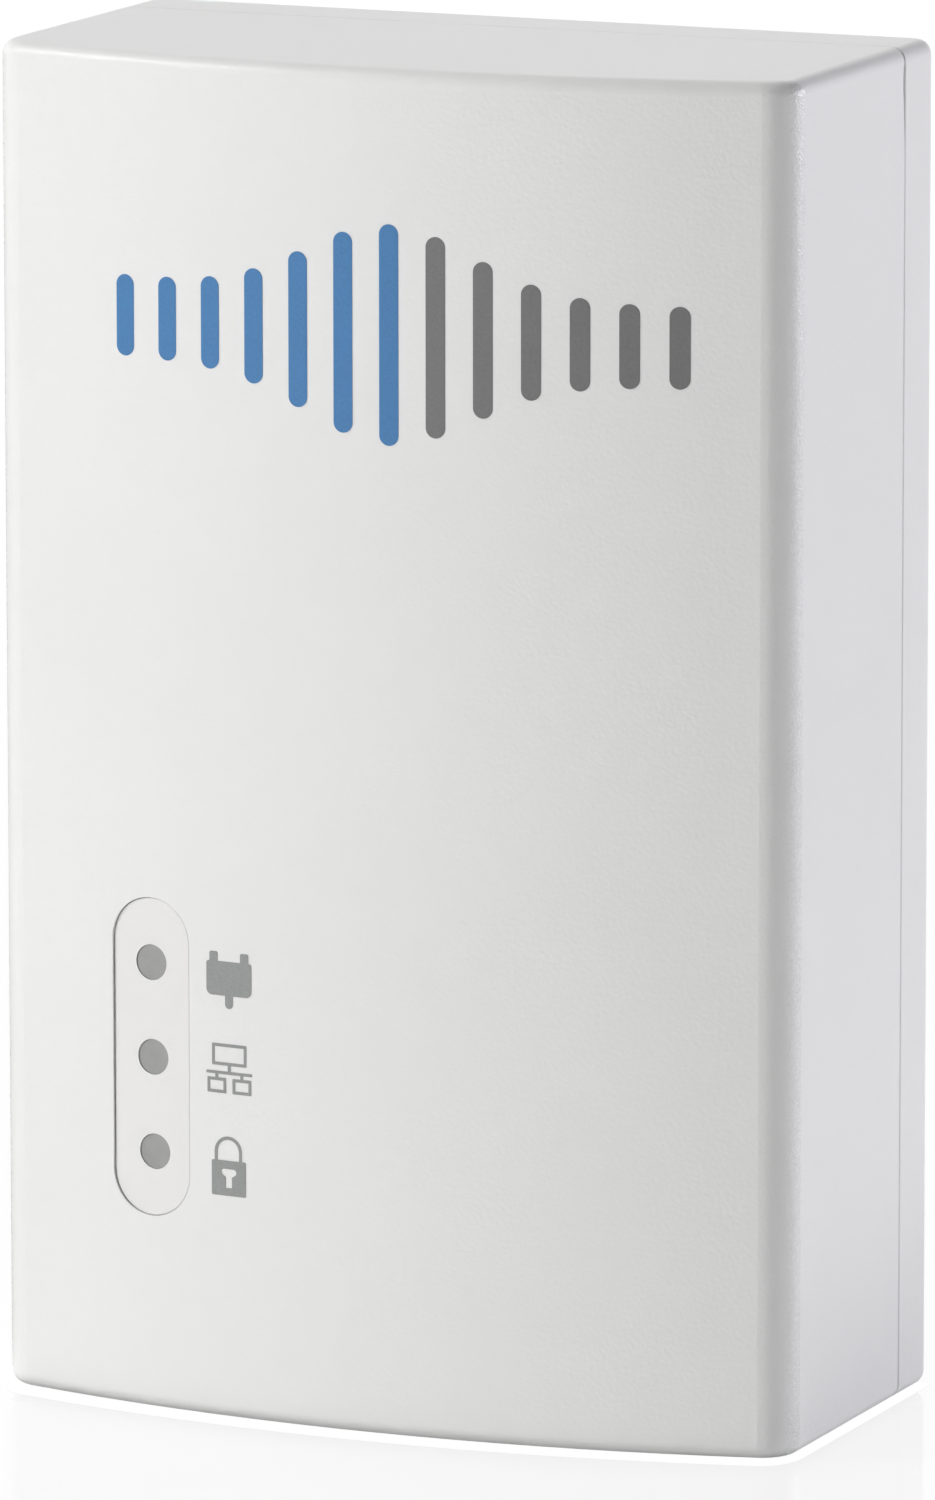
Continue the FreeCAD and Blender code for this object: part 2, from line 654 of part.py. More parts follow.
@piece
def bridge_rectifier():
    y_top = POWER_FRONT - 4.0
    body = chamfer_at_y(box(-4.3, 4.3, y_top, POWER_FRONT - 0.7, -1.6, 4.8), y_top, 0.3)
    leads = [box(x - 0.3, x + 0.3, POWER_FRONT - 2.3, POWER_FRONT, z0, z1)
             for x in (-2.55, 2.55) for z0, z1 in ((-2.3, -1.5), (4.7, 5.5))]
    return union([body] + leads)


def lying_capacitor(z):
    """Electrolytic can along X with bent leads at its left end."""
    x0, r, length = 9.0, 5.0, 16.0
    y = POWER_FRONT - r - 0.35
    can = revolve([(0, 0), (r - 0.4, 0), (r, 0.4), (r, 1.6), (r - 0.35, 2.0), (r, 2.4),
                   (r, length - 0.5), (r - 0.5, length), (0, length)], (x0, y, z), (1, 0, 0))
    ends = (z - 2.5, z + 2.5)
    leads = [box(x0 - 1.2, x0 + 0.6, y - 0.3, y + 0.3, c - 0.3, c + 0.3) for c in ends]
    leads += [box(x0 - 1.8, x0 - 1.2, y - 0.3, POWER_FRONT, c - 0.3, c + 0.3) for c in ends]
    return union([can] + leads)


@piece
def bulk_capacitors():
    return Part.makeCompound([lying_capacitor(z) for z in (2.6, -8.0)])


# Flyback transformer, centre of its core
TRAFO_X, TRAFO_Y, TRAFO_Z = -14.6, -16.5, -25.6


def trafo_box(half_x, y0, y1, z0, z1):
    """Box centred on the transformer in X, its other limits measured from the core's centre."""
    return box(TRAFO_X - half_x, TRAFO_X + half_x, TRAFO_Y + y0, TRAFO_Y + y1,
               TRAFO_Z + z0, TRAFO_Z + z1)


@piece
def transformer_core():
    core = trafo_box(8, -2.5, 2.5, -7, 7)
    return core.cut([block(TRAFO_X + dx, TRAFO_Z, 3.8, 10, -30, 0) for dx in (3.9, -3.9)])


@piece
def transformer_bobbin():
    """Sleeve with two end cheeks, pin rails and pins."""
    parts = [trafo_box(2.9, -3.4, 3.4, -4.9, 4.9)]
    for end in (-1, 1):
        parts.append(trafo_box(5.6, -5.4, 5.0, end * 4.1, end * 4.9))
        parts.append(trafo_box(7.4, 2.55, 5.0, end * 4.1, end * 8.2))
    bobbin = union(parts).cut(trafo_box(2.04, -2.54, 2.54, -10, 10))
    bobbin = bobbin.cut([trafo_box(9, -2.54, 2.54, 5.0, 9), trafo_box(9, -2.54, 2.54, -9, -5.0)])
    pins = [(TRAFO_X + dx, TRAFO_Z + end * 6.9) for dx in (-6, -2, 2, 6) for end in (-1, 1)]
    return union([bobbin] + legs(pins, TRAFO_Y + 4.5, 0.35))


@piece
def transformer_winding():
    winding = round_box(TRAFO_X - 5.3, TRAFO_X + 5.3, TRAFO_Y - 5.1, TRAFO_Y + 5.1,
                        TRAFO_Z - 4.02, TRAFO_Z + 4.02, 1.6, "z")
    return winding.cut(trafo_box(2.92, -3.42, 3.42, -6, 6))


def dual_in_line(x, z, width, length, thickness, legs_per_side):
    """Package with a row of bent legs along its upper and lower sides."""
    y_base = POWER_FRONT - 0.5
    y_top, y_leg = y_base - thickness, y_base - thickness / 2
    body = chamfer_at_y(block(x, z, width, length, y_top, y_base), y_top, 0.3)
    body = body.cut(cylinder(0.5, x - width / 2 + 0.9, y_top - 1, z, 1.2))
    leads = []
    for i in range(legs_per_side):
        px = x + (i - (legs_per_side - 1) / 2) * PIN_PITCH
        for side in (-1, 1):
            z_in, z_bend, z_out = [z + side * (length / 2 + d) for d in (-0.2, 0.65, 0.9)]
            leads.append(box(px - 0.35, px + 0.35, y_leg - 0.12, y_leg + 0.12, z_in, z_out))
            leads.append(box(px - 0.25, px + 0.25, y_leg, POWER_FRONT, z_bend, z_out))
    return union([body] + leads)


@piece
def controller_chip():
    return dual_in_line(-1.6, -11.0, 9.4, 6.3, 3.3, 4)


@piece
def optocoupler():
    return dual_in_line(-1.2, -24.6, 4.6, 6.5, 3.4, 2)


@piece
def y_capacitor():
    disc = revolve([(0, 0), (3.0, 0), (3.6, 0.5), (3.6, 2.9), (3.0, 3.4), (0, 3.4)],
                   (5.2, POWER_FRONT - 4.8, -19.0), (1, 0, 0))
    return union([disc] + legs([(6.9, -21.4), (6.9, -16.6)], POWER_FRONT - 3.0))


def axial_diode(x):
    """Diode along Z on a wire bent down to the board at both ends."""
    r, length, z0, z1 = 1.35, 5.2, -46.0, -36.6
    y = POWER_FRONT - r - 0.3
    body = revolve([(0, 0), (r - 0.25, 0), (r, 0.25), (r, length - 0.25), (r - 0.25, length),
                    (0, length)], (x, y, (z0 + z1) / 2 - length / 2), (0, 0, 1))
    wire = cylinder(0.38, x, y, z0, z1 - z0, "z")
    return union([body, wire] + legs([(x, z0 + 0.3), (x, z1 - 0.3)], y - 0.3, 0.38))


@piece
def rectifier_diodes():
    return Part.makeCompound([axial_diode(x) for x in (-23.6, -19.6)])


def standing_capacitor(x, z):
    """Electrolytic can along Y with a crossed score in its front end."""
    r, h = 4.0, 11.0
    can = revolve([(0, 0), (r - 0.3, 0), (r, 0.4), (r, 1.3), (r - 0.3, 1.6), (r, 1.9),
                   (r, h - 0.4), (r - 0.4, h), (r - 0.7, h), (r - 0.8, h - 0.15),
                   (0, h - 0.15)], (x, POWER_FRONT - 0.25, z), (0, -1, 0))
    y0, y1 = POWER_FRONT - h - 1, POWER_FRONT - h + 0.15
    can = can.cut([block(x, z, r * 1.4, 0.24, y0, y1), block(x, z, 0.24, r * 1.4, y0, y1)])
    return union([can] + legs([(x - 1.7, z), (x + 1.7, z)], POWER_FRONT - 0.8))


@piece
def output_capacitors():
    return Part.makeCompound([standing_capacitor(x, -41.4) for x in (-12.2, -3.4)])


@piece
def filter_inductor():
    """Waisted drum on two legs."""
    drum = revolve([(0, 0), (3.9, 0), (3.9, 1.2), (2.6, 1.5), (2.6, 6.6), (3.9, 6.9),
                    (3.9, 8.1), (0, 8.1)], (4.9, POWER_FRONT - 0.4, -35.0), (0, -1, 0))
    return union([drum] + legs([(3.2, -35.0), (6.6, -35.0)], POWER_FRONT - 0.8))


@piece
def coupling_transformer():
    case = soft_box(12.4, 23.4, POWER_FRONT - 8.6, POWER_FRONT - 0.6, -30.6, -20.4, 0.6)
    points = [(x, z) for x in (14.0, 17.9, 21.8) for z in (-29.4, -21.6)]
    return union([case] + legs(points, POWER_FRONT - 1.2))


@piece
def coupling_capacitor():
    case = soft_box(11.4, 24.4, POWER_FRONT - 9.4, POWER_FRONT - 0.4, -19.4, -14.4, 0.4)
    return union([case] + legs([(12.9, -16.9), (22.9, -16.9)], POWER_FRONT - 1.0))


def header_blocks(size, y0, y1):
    """Square bars at the six header positions."""
    return [block(x, HEADER_Z, size, size, y0, y1) for x in HEADER_XS]


@piece
def board_header():
    strip = block(HEADER_X, HEADER_Z, 15.2, 2.5, POWER_FRONT - 2.5, POWER_FRONT)
    return strip.cut(header_blocks(0.68, POWER_FRONT - 5, POWER_FRONT + 1))


@piece
def header_pins():
    return Part.makeCompound(header_blocks(0.64, -21.2, POWER_FRONT))


# ---------------------------------------------------------------- insulation sheet
@piece
def insulation_sheet():
    """Sheet between the two boards."""
    sheet = round_box(-29.0, 29.0, -22.8, -22.4, -52.4, 20.0, 2.0, "y")
    cuts = [box(22.4, 31, -24, -20, 13.6, 25), box(-31, -22.4, -24, -20, 13.6, 25)]
    cuts += pegs([(-26.5, 8.0), (26.5, 8.0)], 2.7, -24, 4)
    cuts.append(round_box(HEADER_X - 8.8, HEADER_X + 8.8, -24, -20,
                          HEADER_Z - 2.4, HEADER_Z + 2.4, 0.8, "y"))
    return sheet.cut(cuts)


# ---------------------------------------------------------------- main board, front side
@piece
def main_board():
    board = box(-30.0, 30.0, MAIN_FRONT, MAIN_REAR, -78.0, 21.0)
    cuts = [box(side * 22.7, side * 31, -27, -22, z0, z1)
            for z0, z1 in ((13.8, 25), (-80, -70.8)) for side in (1, -1)]
    return board.cut(cuts + pegs(MAIN_POSTS, 1.15, -27, 5))


def front_chip(x, z, size, thickness):
    """Square flat package with a round dent near its upper left corner."""
    y_top = MAIN_FRONT - thickness
    chip = chamfer_at_y(block(x, z, size, size, y_top, MAIN_FRONT), y_top, 0.2)
    return chip.cut(cylinder(0.4, x - size / 2 + 1.1, y_top - 1, z + size / 2 - 1.1, 1.1))


def gull_wing(x, z, width, height, thickness, leads_per_side, pitch):
    """Small-outline package with gull-wing leads along its left and right sides."""
    y_top, y_lead = MAIN_FRONT - thickness, MAIN_FRONT - thickness / 2
    body = chamfer_at_y(block(x, z, width, height, y_top, MAIN_FRONT - 0.12), y_top, 0.2)
    # (start and end beyond the body's side, front, rear)
    bends = [(-0.1, 0.45, y_lead - 0.1, y_lead + 0.1), (0.3, 0.5, y_lead - 0.1, MAIN_FRONT),
             (0.3, 1.1, MAIN_FRONT - 0.2, MAIN_FRONT)]
    leads = []
    for i in range(leads_per_side):
        pz = z + (i - (leads_per_side - 1) / 2) * pitch
        for side in (-1, 1):
            for start, end, y0, y1 in bends:
                leads.append(box(x + side * (width / 2 + start), x + side * (width / 2 + end),
                                 y0, y1, pz - 0.2, pz + 0.2))
    return union([body] + leads)


@piece
def soc_chip():
    return front_chip(1.0, -22.0, 14.0, 1.2)


@piece
def thermal_pad():
    return block(1.0, -22.0, 13.0, 13.0, MAIN_FRONT - 1.7, MAIN_FRONT - 1.2)


@piece
def heat_sink():
    y_base = MAIN_FRONT - 2.9
    base = block(1.0, -22.0, 20.0, 20.0, y_base, MAIN_FRONT - 1.7)
    fins = [box(-9.0, 11.0, MAIN_FRONT - 5.6, y_base + 0.01, z, z + 1.0)
            for z in [-32.0 + 2.7 * i for i in range(7)] + [-13.0]]
    return union([base] + fins)


@piece
def ddr_memory():
    return gull_wing(-16.5, -20.0, 8.0, 13.0, 1.2, 12, 1.0)


@piece
def flash_memory():
    return gull_wing(18.5, -44.0, 5.2, 5.2, 1.8, 4, 1.27)


@piece
def phy_chip():
    return front_chip(2.0, -50.0, 7.0, 0.9)


@piece
def crystal():
    y_rim = MAIN_FRONT - 0.4
    can = round_box(-4.5, 6.5, MAIN_FRONT - 3.4, y_rim, -42.2, -37.8, 2.1, "y")
    return union([can, round_box(-4.9, 6.9, y_rim, MAIN_FRONT, -42.6, -37.4, 2.5, "y")])


@piece
def power_inductors():
    """Square blocks with cut corners and a ring groove in the front."""
    inductors = []
    x = 19.0
    for z in (-6.0, -15.0, -26.0):
        body = block(x, z, 6, 6, MAIN_FRONT - 2.8, MAIN_FRONT)
        body = body.makeChamfer(0.9, [e for e in body.Edges if parallel(e, "y")])
        outer, inner = [cylinder(r, x, MAIN_FRONT - 4, z, 1.6) for r in (2.2, 1.6)]
        inductors.append(body.cut(outer.cut(inner)))
    return Part.makeCompound(inductors)


# (x, z, 1 when the long side is upright)
SMALL_PARTS = [
    (-12, -4, 0), (-9, -4, 0), (-6, -4, 0), (-3, -4, 0), (0, -4, 0), (3, -4, 0),
    (6, -4, 0), (9, -4, 0), (-12, 2, 1), (-8, 2, 1), (-4, 2, 1), (4, 2, 1), (8, 2, 1),
    (12, 2, 1), (11, -37, 0), (11, -40, 0), (11, -43, 0), (-9, -38, 1), (-9, -42, 1),
    (-9, -46, 1), (9, -50, 0), (9, -53, 0), (9, -47, 0), (-4.5, -48, 1), (-4.5, -52, 1),
    (24, -33, 0), (24, -36, 0), (14, -33.6, 1), (17.5, -33.6, 1), (-22, -34, 0),
    (-22, -37, 0), (-23.0, -46.0, 1), (-23.0, -53.3, 1), (-23.0, -60.6, 1)]


@piece
def smd_passives():
    chips = []
    for x, z, upright in SMALL_PARTS:
        width, height = (0.8, 1.6) if upright else (1.6, 0.8)
        chips.append(block(x, z, width, height, MAIN_FRONT - 0.7, MAIN_FRONT))
    return Part.makeCompound(chips)


@piece
def status_leds():
    return Part.makeCompound([
        union([block(INSERT_X, z, 2.0, 1.3, MAIN_FRONT - 0.35, MAIN_FRONT),
               block(INSERT_X, z, 1.2, 1.2, MAIN_FRONT - 0.8, MAIN_FRONT - 0.3)])
        for z in LED_Z])


# ---------------------------------------------------------------- main board, rear side
@piece
def lan_transformer():
    y_top = MAIN_REAR + 6.0
    body = box(4.0, 13.4, MAIN_REAR + 0.4, y_top, -68.6, -55.8)
    parts = [chamfer_at_y(body, y_top, 0.4)]
    for i in range(8):
        z = -62.2 + (i - 3.5) * 1.27
        # (lead from x to x, upright from x to x)
        for x0, x1, x2, x3 in ((2.6, 4.1, 2.6, 2.85), (13.3, 14.8, 14.55, 14.8)):
            parts.append(box(x0, x1, MAIN_REAR + 1.0, MAIN_REAR + 1.25, z - 0.22, z + 0.22))
            parts.append(box(x2, x3, MAIN_REAR, MAIN_REAR + 1.25, z - 0.22, z + 0.22))
    return union(parts)


@piece
def board_socket():
    strip = block(HEADER_X, HEADER_Z, 15.4, 2.6, MAIN_REAR, MAIN_REAR + 8.5)
    return strip.cut(header_blocks(0.8, MAIN_REAR + 1.5, MAIN_REAR + 9))


# ---------------------------------------------------------------- network jack
@piece
def rj45_shield():
    """Thin can open towards the board, with board tabs and U-shaped slits in both sides."""
    t = SHIELD_T
    shield = box(JACK_X0, JACK_X1, JACK_Y0 + 0.6, JACK_Y1, JACK_Z0, JACK_Z1)
    shield = shield.makeFillet(0.45, [e for e in shield.Edges
                                      if parallel(e, "z") and e.CenterOfMass.y > JACK_Y1 - 1])
    shield = shield.cut(box(JACK_X0 + t, JACK_X1 - t, JACK_Y0 - 1, JACK_Y1 - t,
                            JACK_Z0 + t, JACK_Z1 - t))
    shield = shield.cut(round_box(JACK_X0 + 1.5, JACK_X1 - 1.5, JACK_Y0 - 1, JACK_Y1 - 1.5,
                                  JACK_Z0 - 1, JACK_Z0 + 1, 0.4, "z"))
    tabs = [block(x, z, t, 1.6, JACK_Y0, JACK_Y0 + 0.8)
            for x in (JACK_X0 + t / 2, JACK_X1 - t / 2) for z in (JACK_Z0 + 6.5, JACK_Z0 + 15.0)]
    slits = []
    for x in (JACK_X0, JACK_X1):
        for z in (JACK_Z0 + 3.0, JACK_Z0 + 8.2):
            for dy0, dy1, height in ((4.0, 4.3, 4.0), (7.6, 7.9, 4.0), (4.0, 7.9, 0.3)):
                slits.append(box(x - 0.5, x + 0.5, JACK_Y0 + dy0, JACK_Y0 + dy1, z, z + height))
    return union([shield] + tabs).cut(slits)


@piece
def rj45_housing():
    """Block with the port, latch channels towards the board and contact slots."""
    z0 = HOUSING_Z0
    housing = box(JACK_X0 + HOUSING_INSET, JACK_X1 - HOUSING_INSET, JACK_Y0,
                  JACK_Y1 - HOUSING_INSET, z0, JACK_Z1 - HOUSING_INSET)
    # (half width, front y, rear y, bottom z, top z): port, then stepped latch channels
    hollows = [(5.95, PORT_Y0, PORT_Y1, z0 - 1, z0 + 14.5),
               (3.2, JACK_Y0 + 2.9, PORT_Y0 + 0.5, z0 - 1, z0 + 12.0),
               (1.7, JACK_Y0 + 1.5, PORT_Y0 + 0.5, z0 + 1.2, z0 + 12.0),
               (2.0, JACK_Y0 + 1.5, PORT_Y0 + 0.5, z0 - 1, z0 + 1.25)]
    housing = housing.cut([box(JACK_X - half, JACK_X + half, *limits)
                           for half, *limits in hollows])
    # shallow step that widens the mouth
    housing = housing.cut(box(JACK_X - 6.25, JACK_X + 6.25, PORT_Y0 + 0.01, PORT_Y1 - 0.01,
                              z0 - 0.01, z0 + 0.4))
    slots = []
    for x in CONTACT_XS:
        y_rear = PORT_Y1 + 0.72
        slots.append(box(x - 0.24, x + 0.24, PORT_Y1 - 0.2, y_rear, z0 + 1.8, z0 + 17.5))
        slots.append(box(x - 0.24, x + 0.24, JACK_Y0 - 0.1, y_rear, z0 + 16.9, z0 + 17.5))
    return housing.cut(slots)


@piece
def rj45_contacts():
    """Eight sprung wires sloping into the port from its rear side, with tails to the board."""
    # (y, z from the housing's mouth)
    y = PORT_Y1
    outline = [(y - 0.75, 12.6), (y - 1.12, 12.6), (y - 0.05, 2.0), (y + 0.65, 2.0),
               (y + 0.65, 17.4), (JACK_Y0, 17.4), (JACK_Y0, 17.0), (y + 0.25, 17.0),
               (y + 0.25, 2.4), (y + 0.2, 2.4)]
    return Part.makeCompound([
        polygon_face([V(x - 0.18, py, HOUSING_Z0 + dz) for py, dz in outline])
        .extrude(V(0.36, 0, 0)) for x in CONTACT_XS])


# ---------------------------------------------------------------- side-push switches
def button_box(x, half_x, half_y, z0, z1):
    """Box centred on x and the button axis; z0 and z1 are measured from the switch front."""
    return box(x - half_x, x + half_x, BUTTON_Y - half_y, BUTTON_Y + half_y,
               SWITCH_Z + z0, SWITCH_Z + z1)


@piece
def switch_bases():
    return Part.makeCompound([
        box(x - 3.0, x + 3.0, MAIN_REAR, MAIN_REAR + 5.3, SWITCH_Z, SWITCH_Z + 3.6)
        .cut(button_box(x, 2.3, 1.6, -1, 2.1)) for x in SWITCH_XS])


@piece
def switch_frames():
    """Thin plates over the front of each base, folded over its rear."""
    frames = []
    z0, y1 = SWITCH_Z - 0.25, MAIN_REAR + 5.55
    for x in SWITCH_XS:
        frame = union([box(x - 3.0, x + 3.0, MAIN_REAR + 0.3, y1, z0, SWITCH_Z),
                       box(x - 3.0, x + 3.0, y1 - 0.25, y1, z0, SWITCH_Z + 2.8)])
        frames.append(frame.cut(button_box(x, 1.6, 0.95, -1, 0.5)))
    return Part.makeCompound(frames)


@piece
def switch_domes():
    profile = [(0.0, 0.42), (0.0, 0.52), (0.6, 0.47), (1.1, 0.32), (1.5, 0.1), (1.5, 0.0),
               (1.4, 0.0), (1.03, 0.22), (0.55, 0.37)]
    return Part.makeCompound([revolve(profile, (x, BUTTON_Y, SWITCH_Z + 2.1), (0, 0, -1))
                              for x in SWITCH_XS])


def plunger(x):
    tip = round_box(x - 1.5, x + 1.5, BUTTON_Y - 0.85, BUTTON_Y + 0.85,
                    -77.4, SWITCH_Z + 0.2, 0.3, "z")
    return union([tip, button_box(x, 2.0, 1.3, 0.03, 0.85)])


@piece
def pair_switch_plunger():
    return plunger(BUTTON_X)


@piece
def reset_switch_plunger():
    return plunger(RESET_X)


# ---------------------------------------------------------------- write the pieces
for build in PIECES:
    solids = build().Solids
    shape = solids[0] if len(solids) == 1 else Part.makeCompound(solids)
    shape.exportStep("parts/" + build.__name__ + ".step")
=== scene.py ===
# A white plug-in network adapter with a bowed front that carries three pictograms and a row
# of bars. It stands upright on a pale floor: X runs across it, its front faces -Y, Z is up.
import json
import math

import bmesh
import bpy
from mathutils import Matrix, Vector


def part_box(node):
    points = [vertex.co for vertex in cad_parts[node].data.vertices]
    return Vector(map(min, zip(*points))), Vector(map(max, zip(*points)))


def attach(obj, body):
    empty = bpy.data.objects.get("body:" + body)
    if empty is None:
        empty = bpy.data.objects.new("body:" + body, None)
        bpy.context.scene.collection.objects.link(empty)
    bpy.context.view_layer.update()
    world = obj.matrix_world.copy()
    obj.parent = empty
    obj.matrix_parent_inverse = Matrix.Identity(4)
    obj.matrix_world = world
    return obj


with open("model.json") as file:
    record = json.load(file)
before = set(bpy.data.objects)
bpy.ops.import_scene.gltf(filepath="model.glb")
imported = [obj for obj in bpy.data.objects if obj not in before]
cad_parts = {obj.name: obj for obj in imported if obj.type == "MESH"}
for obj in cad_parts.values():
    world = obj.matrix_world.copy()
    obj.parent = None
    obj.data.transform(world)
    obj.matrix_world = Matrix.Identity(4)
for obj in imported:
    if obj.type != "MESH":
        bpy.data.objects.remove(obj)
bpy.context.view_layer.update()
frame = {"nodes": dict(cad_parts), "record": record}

scene = bpy.context.scene
MM = 0.001
PER_MM = 1000.0  # texture scale that gives one cell per millimetre

# ------------------------------------------------------------------ form of the casing
shell_low, shell_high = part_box("front_shell")
HALF_WIDTH = shell_high.x
BOTTOM_Z, TOP_Z = shell_low.z, shell_high.z
BOW_DEPTH = 4.6 * MM  # how far the middle of the front stands ahead of its sides
BOW_RADIUS = (HALF_WIDTH ** 2 + BOW_DEPTH ** 2) / (2 * BOW_DEPTH)
BOW_CENTRE_Y = shell_low.y + BOW_RADIUS


def front_y(x, proud=0.0):
    """The y of the bowed front at x, moved outward by proud."""
    radius = BOW_RADIUS + proud
    return BOW_CENTRE_Y - math.sqrt(radius * radius - x * x)


def add_object(name, bm):
    """Turn a bmesh into an object in the scene."""
    mesh = bpy.data.meshes.new(name)
    bm.to_mesh(mesh)
    bm.free()
    made = bpy.data.objects.new(name, mesh)
    scene.collection.objects.link(made)
    return made


# ------------------------------------------------------------------ shader building blocks
class Graph:
    """The emptied node tree of a material or world, with short ways to add nodes."""

    def __init__(self, owner):
        owner.use_nodes = True
        self.tree = owner.node_tree
        self.tree.nodes.clear()

    def feed(self, socket, value):
        """Give an input a number, a colour or vector, or a link; None leaves it alone."""
        if value is None:
            return
        if isinstance(value, bpy.types.NodeSocket):
            self.tree.links.new(value, socket)
        elif isinstance(value, tuple) and socket.type == "RGBA":
            socket.default_value = (*value, 1)
        else:
            socket.default_value = value

    def node(self, kind, inputs=None, **settings):
        made = self.tree.nodes.new("ShaderNode" + kind)
        for key, value in settings.items():
            setattr(made, key, value)
        for key, value in (inputs or {}).items():
            self.feed(made.inputs[key], value)
        return made

    def first(self, kind, inputs=None, **settings):
        """Add a node and return its first output."""
        return self.node(kind, inputs, **settings).outputs[0]

    def math(self, operation, *values, **settings):
        return self.first("Math", dict(enumerate(values)), operation=operation, **settings)

    def split(self, kind, value):
        return self.node(kind, {0: value}).outputs

    def remap(self, value, span=(0.3, 0.7), to=(0.0, 1.0), smooth=False):
        """Map span onto to, clamped; the default span is where noise mostly lies."""
        inputs = {"Value": value, "From Min": span[0], "From Max": span[1],
                  "To Min": to[0], "To Max": to[1]}
        shape = "SMOOTHSTEP" if smooth else "LINEAR"
        return self.first("MapRange", inputs, clamp=True, interpolation_type=shape)

    def mix_shader(self, share, base, other):
        return self.first("MixShader", {0: share, 1: base, 2: other})

    def add_shader(self, one, other):
        return self.first("AddShader", {0: one, 1: other})


class Surface(Graph):
    """A principled material textured in object coordinates."""

    def __init__(self, name):
        self.material = bpy.data.materials.new(name)
        super().__init__(self.material)
        output = self.node("OutputMaterial")
        self.bsdf = self.node("BsdfPrincipled")
        self.feed(output.inputs[0], self.bsdf.outputs[0])
        self.place = self.node("TexCoord").outputs["Object"]

    def scaled(self, scale, rotation=(0, 0, 0)):
        return self.first(
            "Mapping", {"Scale": scale, "Rotation": rotation, "Vector": self.place})

    def noise(self, scale, detail=2.0, rough=0.5, vector=None):
        inputs = {"Scale": scale, "Detail": detail, "Roughness": rough,
                  "Vector": vector or self.place}
        return self.node("TexNoise", inputs).outputs["Fac"]

    def voronoi(self, scale, output="Distance", randomness=1.0, **settings):
        inputs = {"Scale": scale, "Randomness": randomness, "Vector": self.place}
        return self.node("TexVoronoi", inputs, feature="F1", **settings).outputs[output]

    def mix(self, share, base, other):
        made = self.node("Mix", {0: share, 6: base, 7: other}, data_type="RGBA")
        return made.outputs[2]

    def blend_sum(self, one, one_share, other, other_share):
        """one * one_share + other * other_share"""
        return self.math("ADD", self.math("MULTIPLY", one, one_share),
                         self.math("MULTIPLY", other, other_share))

    def bump(self, height, depth_mm, strength=1.0, normal=None):
        return self.first("Bump", {"Strength": strength, "Distance": depth_mm * MM,
                                   "Height": height, "Normal": normal})

    def finish(self, color, rough, normal, **extra):
        """Connect the look to the principled shader and return the material."""
        looks = {"Base Color": color, "Roughness": rough, "Normal": normal}
        looks.update({key.replace("_", " "): value for key, value in extra.items()})
        for key, value in looks.items():
            self.feed(self.bsdf.inputs[key], value)
        return self.material


def shade(color, gain, lift=0.0):
    return tuple(min(1.0, channel * gain + lift) for channel in color)


def around(value, below, above):
    return (value - below, value + above)


# ------------------------------------------------------------------ kinds of material
# In all of them: grain and line are cell sizes in mm, depth is the bump height in mm.
def moulded(name, color, rough=0.45, grain=0.22, depth=0.012, tint=0.02, specks=0.0, glint=0.0):
    """Moulded plastic with a spark-eroded texture.

    tint is the colour variation, specks the share of cells with a dark speck and glint
    the depth of the coarser texture on the front corners.
    """
    m = Surface(name)
    grain_scale = PER_MM / grain
    fine = m.noise(grain_scale, rough=0.6)
    pits = m.voronoi(grain_scale * 0.62)
    height = m.blend_sum(fine, 0.75, pits, 0.45)
    broad = m.noise(55.0, detail=3.0, rough=0.55)
    mottle = m.noise(grain_scale * 0.25)
    base = m.mix(m.remap(broad, (0.35, 0.65)), shade(color, 1 - tint),
                 shade(color, 1 + tint * 0.6))
    base = m.mix(m.remap(mottle, to=(0.0, 0.5)), base, shade(color, 1 - tint * 0.7))
    if specks:
        speck_scale = PER_MM / 5.5
        distance = m.voronoi(speck_scale)
        pick = m.split("SeparateColor", m.voronoi(speck_scale, output="Color"))[0]
        chosen = m.math("GREATER_THAN", pick, 1.0 - specks)
        dot = m.math("LESS_THAN", distance, 0.016)
        share = m.math("MULTIPLY", m.math("MULTIPLY", chosen, dot), 0.5)
        base = m.mix(share, base, (0.16, 0.15, 0.14))
    roughness = m.math("ADD", m.remap(fine, to=around(rough, 0.05, 0.07)),
                       m.remap(broad, to=(-0.02, 0.02)))
    normal = m.bump(height, depth)
    if glint:
        # where the front corners turn, the texture is coarser and glossier and catches light
        x, y, _ = m.split("SeparateXYZ", m.place)
        turn = m.math("MULTIPLY",
                      m.remap(y, (-29.0 * MM, -28.2 * MM), smooth=True),
                      m.remap(y, (-27.1 * MM, -26.6 * MM), (1, 0), smooth=True))
        at_side = m.math("GREATER_THAN", m.math("ABSOLUTE", x), HALF_WIDTH - 1.4 * MM)
        zone = m.math("MULTIPLY", turn, at_side)
        cells = m.voronoi(PER_MM / 0.20)
        roughness = m.math("SUBTRACT", roughness, m.math("MULTIPLY", zone, 0.16))
        normal = m.bump(m.math("MULTIPLY", cells, zone), glint, normal=normal)
    return m.finish(base, roughness, normal)


def metal(name, color, rough=0.25, axis="y", line=0.06, depth=0.004, stain=0.1):
    """Plated or drawn metal: fine lines along one axis and faint staining."""
    m = Surface(name)
    across = PER_MM / line
    along = across * 0.02
    scale = tuple(along if letter == axis else across for letter in "xyz")
    lines = m.noise(1.0, detail=3.0, rough=0.6, vector=m.scaled(scale))
    broad = m.noise(180.0, detail=4.0, rough=0.6)
    fine = m.noise(3500.0)
    base = m.mix(m.remap(broad, (0.35, 0.7)), color, shade(color, 1 - stain))
    base = m.mix(m.remap(lines, to=(0, 0.35)), base, shade(color, 1 - stain * 1.2))
    roughness = m.math("ADD", m.remap(lines, (0.25, 0.75), around(rough, 0.06, 0.1)),
                       m.remap(broad, to=(-0.03, 0.06)))
    height = m.blend_sum(lines, 0.8, fine, 0.3)
    return m.finish(base, roughness, m.bump(height, depth), Metallic=1.0)


